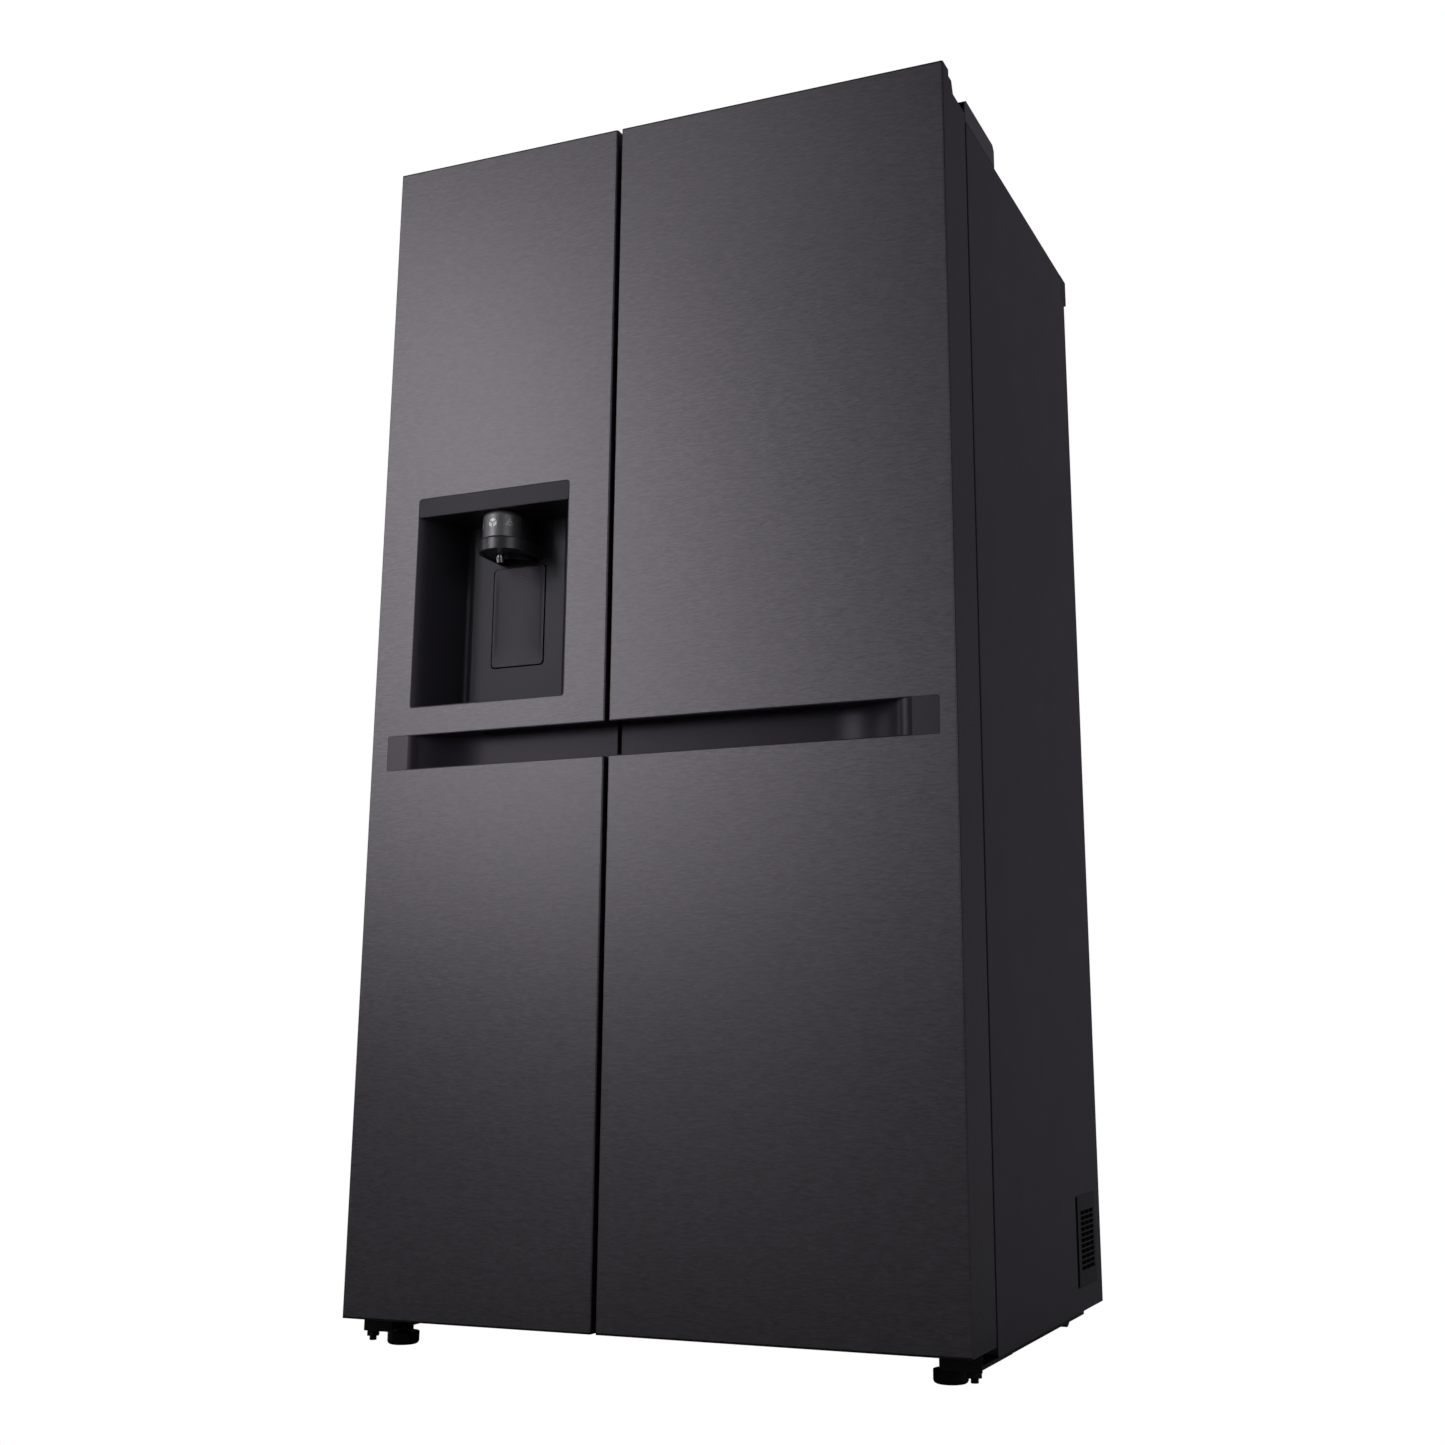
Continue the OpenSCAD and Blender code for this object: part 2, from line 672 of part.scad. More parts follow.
// Openings in a skin for the handle insert, cut through the free side too.
module groove_window(x_end, x_free, s) {
    cut = [x_end, x_free - s * 4];
    window([min(cut), max(cut)], [-1, sheet + 0.2], [groove_z, groove_z1], 3);
    edge = [x_free - s * 4, x_free + s * (door_edge_r + 0.2)];
    block([min(edge), max(edge)], [-1, groove_depth + 2], [groove_z, groove_z1]);
}

left_end = -side + groove_inset_left;
right_end = side - groove_inset_right;
disp_frame = [disp_x - disp_w / 2, disp_x + disp_w / 2];

module freezer_door_skin()
    door_skin([-side, left_free]) {
        groove_window(left_end, left_free, -1);
        window(disp_frame, [-1, sheet + 0.2], [disp_z, disp_z1], 5);
    }
module fridge_door_skin()
    door_skin([right_free, side]) groove_window(right_end, right_free, 1);

module freezer_door_caps() door_caps([-side, left_free], -1);
module fridge_door_caps() door_caps([right_free, side], 1);

// Foam boards of the refrigerator door, around the handle groove.
core_d = [door_edge_r + 0.1, door_back];
core_z = [door_bottom + cap_h, groove_z - 2.3, groove_z1 + pocket_h + 1, top_low - cap_h];
groove_back = groove_depth + 3;
module groove_boards(x, x_end, s) {
    block(x, core_d, [core_z[0], core_z[1]]);
    block(x, [groove_back, core_d[1]], [core_z[1] + split, core_z[2] - split]);
    outer = s < 0 ? [x[0], x_end - 3] : [x_end + 3, x[1]];
    block(outer, [core_d[0], groove_back - split], [core_z[1] + split, core_z[2] - split]);
}
module fridge_door_core()
    color("#d9c27a") {
        x = [right_free + sheet, side - sheet];
        groove_boards(x, right_end, 1);
        block(x, core_d, [core_z[2], core_z[3]]);
    }

// Foam boards of the freezer door, around the groove, the dispenser and the ice chute.
chute_top = 1300;
dyke_room = [fz_dyke[0] + dyke_w, fz_dyke[1] - dyke_w];
bulge_d = dyke_d - 6;
chute_space = [disp_x - 40, disp_x + 40];
module freezer_door_core()
    color("#d9c27a") {
        x = [-side + sheet, left_free - sheet];
        recess = [disp_frame[0] - 3, disp_frame[1] + 3];
        recess_z = [disp_z - 3, disp_z1 + 3];
        groove_boards(x, left_end, -1);
        block(x, core_d, [core_z[2], recess_z[0] - split]);
        block([x[0], recess[0]], core_d, recess_z);
        block([recess[1], x[1]], core_d, recess_z);
        block([dyke_room[0] + split, dyke_room[1] - split], [pocket_back + 1, bulge_d - liner_t], recess_z);
        block([x[0], chute_space[0]], core_d, [recess_z[1] + split, chute_top]);
        block([chute_space[1], x[1]], core_d, [recess_z[1] + split, chute_top]);
        block([chute_space[0] + split, chute_space[1] - split], [core_d[0], chute_d - chute_r - 2],
              [recess_z[1] + split, chute_top]);
        block(x, core_d, [chute_top + split, core_z[3]]);
    }

// The freezer door's liner bulges behind the dispenser and lets the ice through.
module freezer_door_liner()
    difference() {
        union() {
            door_liner([-side, left_free], fz_dyke)
                block(dyke_room, [0, door_back + liner_t + eps], [disp_z - 3, disp_z1 + 3]);
            color("#eceeef") difference() {
                block([dyke_room[0] - 1, dyke_room[1] + 1], [door_back, bulge_d],
                      [disp_z - 5, disp_z1 + 5]);
                block(dyke_room, [door_back - eps, bulge_d - liner_t], [disp_z - 3, disp_z1 + 3]);
            }
        }
        block([chute_space[0] + 6, chute_space[1] - 6], [door_back - eps, door_back + liner_t + eps],
              [disp_z1 + 12, chute_top - 2]);
    }
module fridge_door_liner() door_liner([right_free, side], fr_dyke);
module freezer_door_seal() door_seal([-side, left_free]);
module fridge_door_seal() door_seal([right_free, side]);
module freezer_handle_insert() handle_insert(left_end, left_free, -1);
module fridge_handle_insert() handle_insert(right_end, right_free, 1);
module freezer_door_bins() door_bins(fz_dyke, freezer_bin_z);
module fridge_door_bins() door_bins(fr_dyke, fridge_bin_z);

// ---------------------------------------------------------------- dispenser

// One side of the recess's plan as [x, d] points: a chamfer (on the left only), a sloping
// wall and a fillet that runs into the flat back. t widens it all round.
fillet_steps = 6;
wall_run = disp_depth - flare - fillet_r * (1 - sin(draft));
fillet_u = flare + wall_run * tan(draft) + fillet_r * cos(draft);
function recess_side(s, t) = [
    for (p = concat(s < 0 ? [[0, 0], [flare, flare]] : [[0, 0]],
                    [for (i = [0:fillet_steps])
                        let (a = draft + (90 - draft) * i / fillet_steps)
                        [fillet_u - fillet_r * cos(a), disp_depth - fillet_r * (1 - sin(a))]]))
        [disp_x + s * (disp_w / 2 - disp_lip + t - p[0]), p[1] + t]
];
function reversed(list) = [for (i = [len(list) - 1:-1:0]) list[i]];
function recess_plan(t) = concat(
    [[disp_x - disp_w / 2 + disp_lip - t, -1]], recess_side(-1, t),
    reversed(recess_side(1, t)), [[disp_x + disp_w / 2 - disp_lip + t, -1]]
);

// Moulded recess with a spring pocket for the paddle and holes for chute and spindle.
module dispenser_housing()
    color("#2c2b2e") difference() {
        union() {
            window([disp_frame[0] + 0.3, disp_frame[1] - 0.3], [0, 3], [disp_z + 0.3, bezel_z - 0.3], 4.5);
            intersection() {
                plan([disp_z - 2, disp_z1 - 1], recess_plan(plastic_t));
                block([disp_frame[0] - 2, disp_frame[1] + 2], [sheet + 0.1, pocket_back],
                      [disp_z - 3, disp_z1]);
            }
            block([paddle_x - paddle_w / 2 - 7, paddle_x + paddle_w / 2 + 7], [disp_depth - 3, pocket_back],
                  [paddle_z0 - 5, paddle_z1 + 2]);
        }
        plan([disp_z + disp_lip, bezel_z - 0.5], recess_plan(0));
        block([disp_frame[0] - 3, disp_frame[1] + 3], [-1, 26], [bezel_z - 0.3, disp_z1 + 1]);
        window([paddle_x - paddle_w / 2 - paddle_gap, paddle_x + paddle_w / 2 + paddle_gap],
               [disp_depth - 4, pocket_back - 2], [paddle_z0 - paddle_gap, paddle_z1 + 0.8], 7);
        rod_x([paddle_x - paddle_w / 2 - 5, paddle_x + paddle_w / 2 + 5], paddle_axis[0], paddle_axis[1],
              paddle_pin_r + run);
        intersection() {
            post(disp_x, chute_d, [bezel_z - 1, disp_z1 + 5], chute_r + 0.3);
            block(disp_frame, [0, disp_depth - 0.1], [bezel_z - 2, disp_z1 + 6]);
        }
        post(disp_x, dial_d, [bezel_z - 1, disp_z1 + 5], spindle_r + 0.2);
    }

// Flush strip across the top of the recess.
module dispenser_bezel()
    color("#3d3c40")
        window([disp_frame[0] + 0.3, disp_frame[1] - 0.3], [0, 22], [bezel_z, disp_z1 - 0.3], 4);

// Plate of the dispensing head: round in front, straight back to the recess's back wall.
module head_plate(z, inset) {
    post(disp_x, ring_d, z, ring_r - inset);
    block([disp_x - ring_r + inset, disp_x + ring_r - inset], [ring_d, disp_depth - 0.1], z);
}

// Head under the dial, with the spindle that the dial turns on.
module dispenser_ring()
    color("#3a393c") difference() {
        union() {
            head_plate([ring_z0, dial_z0 - 1.5], 0);
            post(disp_x, dial_d, [dial_z0 - 1.6, disp_z1 - 2], spindle_r);
        }
        head_plate([ring_z0 - 1, ring_z0 + 2], 4);
        post(disp_x, chute_d, [ring_z0 - 1, dial_z0], chute_r + 0.2);
        post(disp_x, nozzle_d, [ring_z0 - 1, ring_z0 + 9], nozzle_r);
    }

// Bent metal outlet for water.
module water_nozzle()
    color("#c9cacc") difference() {
        union() {
            post(disp_x, nozzle_d, [ring_z0 - 10, ring_z0 + 8.9], nozzle_r - 0.1);
            translate([disp_x, front + nozzle_d, ring_z0 - 10]) rotate([14, 0, 0])
                translate([0, 0, -5]) cylinder(h = 8, r = nozzle_r - 0.2);
        }
        translate([disp_x, front + nozzle_d, ring_z0 - 10]) rotate([14, 0, 0])
            translate([0, 0, -6]) cylinder(h = 6, r = nozzle_r - 1.6);
    }

// Tube that drops the ice, cut away where the dial and its collar stand.
module ice_chute()
    color("#2a292c") difference() {
        union() {
            intersection() {
                post(disp_x, chute_d, [chute_z0, chute_top - 20], chute_r);
                block([disp_x - 60, disp_x + 60], [0, 96], [chute_z0, chute_top]);
            }
            block([chute_space[0] + 7, chute_space[1] - 7], [chute_d, door_back + liner_t],
                  [disp_z1 + 14, chute_top - 4]);
        }
        post(disp_x, chute_d, [chute_z0 - 1, chute_top - 24], chute_r - 3);
        block([chute_space[0] + 10, chute_space[1] - 10], [chute_d, door_back + liner_t + eps],
              [disp_z1 + 17, chute_top - 7]);
        post(disp_x, dial_d, [dial_z0 - 1.5, bezel_z + 1], dial_r + 1);
        post(disp_x, dial_d, [bezel_z, disp_z1], spindle_r + 0.5);
        block([disp_x - 60, disp_x + 60], [disp_depth - 0.5, 120], [chute_z0 - 1, disp_z1 - 0.5]);
        block([disp_x - 60, disp_x + 60], [0, 24], [bezel_z - 1, disp_z1 + 1]);
    }

// Press plate that swings back at its foot, with its pivot rod.
module dispenser_paddle()
    color("#454447") {
        window([paddle_x - paddle_w / 2, paddle_x + paddle_w / 2],
               [disp_depth - 1, disp_depth - 1 + paddle_t],
               [paddle_z0, paddle_z1], 6);
        block([paddle_x - paddle_w / 2 + 3, paddle_x + paddle_w / 2 - 3],
              [disp_depth - 1 + paddle_t - 0.1, paddle_axis[0]],
              [paddle_axis[1] - 3, paddle_axis[1] + 3]);
        rod_x([paddle_x - paddle_w / 2 - 4.5, paddle_x + paddle_w / 2 + 4.5], paddle_axis[0], paddle_axis[1],
              paddle_pin_r);
    }

// Dial with a rounded shoulder.
module selector_dial()
    color("#4a494c") {
        h = bezel_z - 0.6 - dial_z0;
        shoulder = 9;
        translate([disp_x, front + dial_d, dial_z0]) rotate_extrude() difference() {
            union() {
                square([dial_r - shoulder, h]);
                square([dial_r, h - shoulder]);
                translate([dial_r - shoulder, h - shoulder]) circle(shoulder);
            }
            translate([-1, -1]) square([spindle_r + run + 1, h + 2]);
        }
    }

// Ice maker with its tray of cube moulds.
module ice_maker()
    color("#d7dadc") difference() {
        block([fz_dyke[0] + dyke_w + 0.5, ice_x1], [door_back + liner_t + 0.3, 236], [1510, 1640]);
        for (i = [0:6])
            block([fz_dyke[0] + dyke_w + 12 + i * 27, fz_dyke[0] + dyke_w + 34 + i * 27],
                  [150, 215], [1606, 1640 + eps]);
    }

module ice_bin()
    color("#dfe6e8", 0.7) difference() {
        tray([fz_dyke[0] + dyke_w + 0.5, ice_x1], [door_back + liner_t + 0.3, 240], [1302, 1490],
             plastic_t, 4);
        block([disp_x - 30, disp_x + 30], [door_back + liner_t, 150], [1301, 1307]);
    }

// ---------------------------------------------------------------- moving base parts

// Levelling foot: a disc with a rounded lower edge on its stem.
module front_foot(s)
    color("#141415") translate([s < 0 ? foot_x_left : foot_x_right, front + foot_d, 0]) {
        edge = 5;
        rotate_extrude() union() {
            square([foot_r - edge, foot_h]);
            translate([0, edge]) square([foot_r, foot_h - edge]);
            translate([foot_r - edge, edge]) circle(edge);
        }
        translate([0, 0, foot_h - 0.1]) cylinder(h = door_bottom - 2.5 - foot_h, r = stem_r);
    }
module front_foot_left() front_foot(-1);
module front_foot_right() front_foot(1);

module rear_roller(s)
    color("#1d1d1f") difference() {
        rod_x([s * 407 - roller_w / 2, s * 407 + roller_w / 2], roller_d, roller_r, roller_r);
        rod_x([s * 407 - roller_w, s * 407 + roller_w], roller_d, roller_r, axle_r + run);
    }
module rear_roller_left() rear_roller(-1);
module rear_roller_right() rear_roller(1);

// ---------------------------------------------------------------- drawers

// Drawer with a raised front and a finger slot in it.
module drawer(x, d1, z)
    color("#dfe6e8", 0.75) difference() {
        union() {
            tray([x[0] + 6, x[1] - 6], [drawer_d0 + 4, d1], [z[0], z[1] - 12], plastic_t, 3);
            block([x[0] + 2, x[1] - 2], [drawer_d0, drawer_d0 + 5], z);
        }
        block([(x[0] + x[1]) / 2 - 70, (x[0] + x[1]) / 2 + 70], [drawer_d0 - eps, drawer_d0 + 9],
              [z[1] - 38, z[1] - 20]);
    }
module freezer_drawer_lower() drawer([fz_x0, fz_x1], step_d - 4, lower_drawer);
module freezer_drawer_upper() drawer([fz_x0, fz_x1], cover_d - 8, upper_drawer);
module crisper_lower() drawer([fr_x0, fr_x1], step_d - 4, lower_drawer);
module crisper_upper() drawer([fr_x0, fr_x1], room_back - 26, upper_drawer);

side_panel_left();
side_panel_right();
top_panel();
back_panel();
base_frame();
cabinet_insulation();
front_flange();
freezer_liner();
fridge_liner();
side_vents();
rear_rail();
machine_cover();
hinge_cover_left();
hinge_cover_right();
upper_hinges();
lower_hinges();
compressor();
condenser();
drain_tray();
water_valve();
control_box();
freezer_air_cover();
evaporator();
freezer_shelves();
fridge_shelves();
fridge_air_tower();
lamps();
freezer_door_skin();
freezer_door_core();
freezer_door_caps();
freezer_door_liner();
freezer_door_seal();
freezer_handle_insert();
freezer_door_bins();
dispenser_housing();
dispenser_bezel();
dispenser_ring();
water_nozzle();
ice_chute();
ice_maker();
ice_bin();
fridge_door_skin();
fridge_door_core();
fridge_door_caps();
fridge_door_liner();
fridge_door_seal();
fridge_handle_insert();
fridge_door_bins();
dispenser_paddle();
selector_dial();
front_foot_left();
front_foot_right();
rear_roller_left();
rear_roller_right();
condenser_fan();
evaporator_fan();
freezer_drawer_lower();
freezer_drawer_upper();
crisper_lower();
crisper_upper();
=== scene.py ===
"""Looks of a side-by-side refrigerator-freezer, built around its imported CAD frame."""

import json
import math

import bmesh
import bpy
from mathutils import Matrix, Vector


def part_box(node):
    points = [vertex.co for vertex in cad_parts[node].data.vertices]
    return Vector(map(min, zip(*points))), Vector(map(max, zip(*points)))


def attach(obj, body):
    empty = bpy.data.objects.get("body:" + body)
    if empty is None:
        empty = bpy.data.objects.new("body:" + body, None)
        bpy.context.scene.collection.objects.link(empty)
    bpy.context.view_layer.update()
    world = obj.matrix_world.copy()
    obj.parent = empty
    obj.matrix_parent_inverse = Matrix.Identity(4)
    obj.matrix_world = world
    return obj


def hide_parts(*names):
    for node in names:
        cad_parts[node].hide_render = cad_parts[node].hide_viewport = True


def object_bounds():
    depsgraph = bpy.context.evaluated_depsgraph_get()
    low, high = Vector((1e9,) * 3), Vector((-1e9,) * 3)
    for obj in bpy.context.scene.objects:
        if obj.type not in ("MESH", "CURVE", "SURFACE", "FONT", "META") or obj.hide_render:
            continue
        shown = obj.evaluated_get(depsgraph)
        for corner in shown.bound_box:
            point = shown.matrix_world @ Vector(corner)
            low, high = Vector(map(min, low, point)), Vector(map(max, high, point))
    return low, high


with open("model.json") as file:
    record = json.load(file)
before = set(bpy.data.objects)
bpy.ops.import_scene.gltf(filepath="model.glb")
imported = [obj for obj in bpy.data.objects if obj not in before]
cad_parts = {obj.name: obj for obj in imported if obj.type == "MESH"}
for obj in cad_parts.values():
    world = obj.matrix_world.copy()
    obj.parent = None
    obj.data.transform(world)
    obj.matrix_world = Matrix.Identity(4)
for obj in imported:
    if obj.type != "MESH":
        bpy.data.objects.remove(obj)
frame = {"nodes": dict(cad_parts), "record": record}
cad_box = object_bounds()
nodes = frame["nodes"]
scene = bpy.context.scene
MM = 0.001
X, Y, Z = 0, 1, 2
FRONT = cad_box[0].y            # the doors' front face
BACK = cad_box[1].y
STEP_Y = FRONT + 428 * MM       # front of the machine compartment, which the liners step over
STEP_Z = 245 * MM               # the liners' floor above that compartment


# ------------------------------------------------------------------ camera and stage


def add_camera():
    """Camera at the photograph's place, solved from its corners: low, to the right, looking up."""
    data = bpy.data.cameras.new("camera")
    data.lens = 44.945
    data.sensor_width = 36.0
    data.shift_x = -0.02863
    data.shift_y = -0.06489
    data.clip_start = 0.05
    data.clip_end = 60.0
    camera = bpy.data.objects.new("camera", data)
    camera.location = (1.1229, -2.6081, 0.3983)
    camera.rotation_euler = [math.radians(a) for a in (103.399, -0.121, 22.766)]
    scene.collection.objects.link(camera)
    scene.camera = camera


def add_light(name, place, target, size, power, colour=(1, 1, 1), mirrored=True):
    """A soft rectangular lamp that looks at a point; unmirrored, it lights only what is matt."""
    data = bpy.data.lights.new(name, "AREA")
    data.shape = "RECTANGLE"
    data.size, data.size_y = size
    data.energy = power
    data.color = colour
    lamp = bpy.data.objects.new(name, data)
    lamp.location = place
    aim = Vector(target) - Vector(place)
    lamp.rotation_euler = aim.to_track_quat("-Z", "Y").to_euler()
    lamp.visible_camera = False
    lamp.visible_glossy = mirrored
    scene.collection.objects.link(lamp)


def camera_split(tree, seen, unseen):
    """Mixes two shaders: one for what the camera sees directly, one for all other light."""
    path = tree.nodes.new("ShaderNodeLightPath")
    mix = tree.nodes.new("ShaderNodeMixShader")
    tree.links.new(path.outputs["Is Camera Ray"], mix.inputs[0])
    tree.links.new(unseen, mix.inputs[1])
    tree.links.new(seen, mix.inputs[2])
    return mix.outputs[0]


def add_world():
    """White backdrop that lights the object only dimly."""
    world = bpy.data.worlds.new("studio")
    scene.world = world
    world.use_nodes = True
    tree = world.node_tree
    tree.nodes.clear()
    white = tree.nodes.new("ShaderNodeBackground")
    white.inputs["Color"].default_value = (1, 1, 1, 1)
    soft = tree.nodes.new("ShaderNodeBackground")
    soft.inputs["Color"].default_value = (0.028, 0.0257, 0.0325, 1)
    out = tree.nodes.new("ShaderNodeOutputWorld")
    tree.links.new(camera_split(tree, white.outputs[0], soft.outputs[0]), out.inputs[0])


def add_floor():
    """Wide floor that is white to the camera and dark grey to all other light."""
    mesh = bpy.data.meshes.new("floor")
    half = 30.0
    corners = [(-half, -half, 0), (half, -half, 0), (half, half, 0), (-half, half, 0)]
    mesh.from_pydata(corners, [], [(0, 1, 2, 3)])
    floor = bpy.data.objects.new("floor", mesh)
    scene.collection.objects.link(floor)
    material = bpy.data.materials.new("floor")
    material.use_nodes = True
    tree = material.node_tree
    tree.nodes.clear()
    glow = tree.nodes.new("ShaderNodeEmission")
    glow.inputs["Color"].default_value = (1, 1, 1, 1)
    dark = tree.nodes.new("ShaderNodeBsdfDiffuse")
    dark.inputs["Color"].default_value = (0.16, 0.16, 0.165, 1)
    out = tree.nodes.new("ShaderNodeOutputMaterial")
    tree.links.new(camera_split(tree, glow.outputs[0], dark.outputs[0]), out.inputs[0])
    mesh.materials.append(material)


def add_lights():
    """Panels in front shade the doors, screens light the sides, and glows graze the right side."""
    face = (0.0, FRONT, 1.0)
    middle = (0.0, 0.0, 1.0)
    dusk = (0.96, 0.91, 1.0)    # the light that grazes the side leans to violet
    for x, z, power in ((-1.0, 0.4, 0.4), (-1.0, 1.2, 0.85), (-1.6, 1.2, 2.7), (-1.6, 1.8, 2.5),
                        (-1.6, 2.4, 2.85), (-2.2, 2.4, 1.3), (-2.2, 3.2, 2.0), (-1.0, 3.2, 1.4)):
        add_light("softbox_panel", (x, -2.6, z), face, (0.7, 0.7), power)
    add_light("side_screen", (4.6, 0.4, 2.0), face, (2.6, 3.0), 34, mirrored=False)
    add_light("side_front", (4.6, -1.2, 1.6), face, (2.0, 2.4), 24, mirrored=False)
    add_light("right_sheen", (3.3, -2.9, 1.9), face, (2.0, 2.4), 8)
    add_light("side_glow", (1.6, 3.8, 0.5), (0.45, 0.0, 0.6), (1.6, 1.2), 0.66, dusk)
    add_light("side_glow_high", (1.6, 3.8, 1.7), (0.45, 0.0, 1.0), (1.6, 1.2), 0.66, dusk)
    add_light("side_glow_top", (1.6, 3.8, 3.4), (0.45, 0.0, 1.6), (1.6, 2.0), 1.15, dusk)
    add_light("left_front", (-3.6, -1.4, 1.4), face, (0.8, 1.8), 4)
    add_light("left_fill", (-4.4, 0.6, 1.8), middle, (2.6, 2.6), 9)
    add_light("back_fill", (-1.2, 3.8, 1.6), middle, (2.6, 2.6), 10)
    add_light("top_soft", (0.0, 0.8, 4.6), (0.0, 0.2, 1.0), (2.6, 2.6), 40, mirrored=False)
    add_light("back_soft", (0.0, 4.4, 2.4), middle, (3.0, 3.0), 40, mirrored=False)


add_camera()
add_world()
add_floor()
add_lights()
scene.view_settings.view_transform = "Standard"


# ------------------------------------------------------------------ materials


class Shader:
    """One material's node tree around a Principled shader."""

    def __init__(self, name, **values):
        self.material = bpy.data.materials.new(name)
        self.material.use_nodes = True
        self.tree = self.material.node_tree
        self.bsdf = self.tree.nodes["Principled BSDF"]
        self.place = self.node("ShaderNodeTexCoord").outputs["Object"]
        for key, value in values.items():
            self.bsdf.inputs[key.replace("_", " ")].default_value = value

    def node(self, kind, **values):
        made = self.tree.nodes.new(kind)
        for key, value in values.items():
            name = key.replace("_", " ")
            if name in made.inputs:
                made.inputs[name].default_value = value
            else:
                setattr(made, key, value)
        return made

    def link(self, source, node, name):
        self.tree.links.new(source, node.inputs[name])

    def scaled(self, scale):
        """The object's own coordinates, in metres, times scale along X, Y and Z."""
        mapping = self.node("ShaderNodeMapping", Scale=scale)
        self.link(self.place, mapping, "Vector")
        return mapping.outputs[0]

    def noise(self, scale, detail=3.0, roughness=0.55, stretch=(1, 1, 1)):
        made = self.node("ShaderNodeTexNoise", Scale=scale, Detail=detail, Roughness=roughness)
        self.link(self.scaled(stretch), made, "Vector")
        return made.outputs["Fac"]

    def spread(self, source, low, high, a=0.0, b=1.0):
        """Maps source from low..high to a..b, clamped."""
        made = self.node("ShaderNodeMapRange", clamp=True)
        for name, value in (("From Min", low), ("From Max", high), ("To Min", a), ("To Max", b)):
            made.inputs[name].default_value = value
        self.link(source, made, "Value")
        return made.outputs[0]

    def blend(self, factor, first, second):
        """Mixes two colours, each a socket or an RGB triple."""
        made = self.node("ShaderNodeMix", data_type="RGBA")
        for index, value in ((6, first), (7, second)):
            if isinstance(value, tuple):
                made.inputs[index].default_value = (*value, 1)
            else:
                self.tree.links.new(value, made.inputs[index])
        self.tree.links.new(factor, made.inputs[0])
        return made.outputs[2]

    def bump(self, height, strength, distance):
        made = self.node("ShaderNodeBump", Strength=strength, Distance=distance)
        self.link(height, made, "Height")
        return made.outputs[0]

    def set(self, name, source):
        self.link(source, self.bsdf, name)


def tone(rgb, factor):
    return tuple(min(1.0, c * factor) for c in rgb)


def brushed_steel(name, base):
    """Dark coated steel, brushed sideways: short fine streaks along X and Y."""
    s = Shader(name, Metallic=1.0, Anisotropic=0.3)
    tangent = s.node("ShaderNodeTangent", direction_type="RADIAL", axis="Z")
    s.set("Tangent", tangent.outputs[0])
    hair = s.noise(1.0, detail=4.0, roughness=0.65, stretch=(70, 70, 480))
    stroke = s.noise(1.0, detail=2.0, stretch=(105, 105, 540))
    cloud = s.noise(2.2, detail=3.0)
    lines = s.spread(hair, 0.34, 0.66)
    body = s.blend(lines, tone(base, 0.84), tone(base, 1.14))
    body = s.blend(s.spread(stroke, 0.54, 0.70, 0.0, 0.55), body, tone(base, 1.30))
    body = s.blend(s.spread(cloud, 0.35, 0.65, 0.0, 0.08), body, tone(base, 0.8))
    s.set("Base Color", body)
    s.set("Roughness", s.spread(lines, 0, 1, 0.38, 0.44))
    s.set("Normal", s.bump(hair, 0.10, 0.0002))
    return s.material


def painted_sheet(name, base, roughness=0.42, texture=0.10):
    """Coated sheet steel with a faint orange-peel texture and slight unevenness."""
    s = Shader(name, Metallic=0.0)
    cloud = s.noise(3.0, detail=4.0)
    peel = s.noise(900.0, detail=2.0)
    s.set("Base Color", s.blend(s.spread(cloud, 0.3, 0.7), tone(base, 0.97), tone(base, 1.03)))
    s.set("Roughness", s.spread(s.noise(14.0), 0.3, 0.7, roughness - 0.01, roughness + 0.015))
    s.set("Normal", s.bump(peel, texture, 0.0002))
    return s.material


def bare_metal(name, base, roughness, streaks=(60, 60, 900), metal=1.0):
    """Plated or rolled metal with fine rolling marks and slightly duller patches."""
    s = Shader(name, Metallic=metal)
    roll = s.noise(1.0, detail=3.0, stretch=streaks)
    patch = s.noise(9.0, detail=4.0)
    s.set("Base Color", s.blend(s.spread(patch, 0.3, 0.7), tone(base, 0.96), tone(base, 1.03)))
    s.set("Roughness", s.spread(roll, 0.3, 0.7, roughness - 0.02, roughness + 0.03))
    s.set("Normal", s.bump(roll, 0.12, 0.0001))
    return s.material


# Tints of the mouldings' reflections: the dark ones lean to violet.
PLAIN = (1, 1, 1, 1)
COOL = (0.95, 0.91, 1.0, 1)
VIOLET = (0.92, 0.84, 1.0, 1)
DULL_VIOLET = (0.80, 0.76, 0.85, 1)


def moulded_plastic(name, base, roughness=0.4, grain=0.10, metal=0.0, sheen=PLAIN):
    """Injection-moulded plastic: an even spark-eroded grain and slight shifts of gloss."""
    s = Shader(name, Metallic=metal, Specular_Tint=sheen)
    cloud = s.noise(6.0, detail=3.0)
    spark = s.noise(2200.0, detail=2.0, roughness=0.7)
    s.set("Base Color", s.blend(s.spread(cloud, 0.3, 0.7), tone(base, 0.97), tone(base, 1.03)))
    s.set("Roughness", s.spread(s.noise(22.0, detail=2.0), 0.3, 0.7, roughness - 0.01, roughness + 0.01))
    s.set("Normal", s.bump(spark, grain, 0.0002))
    return s.material


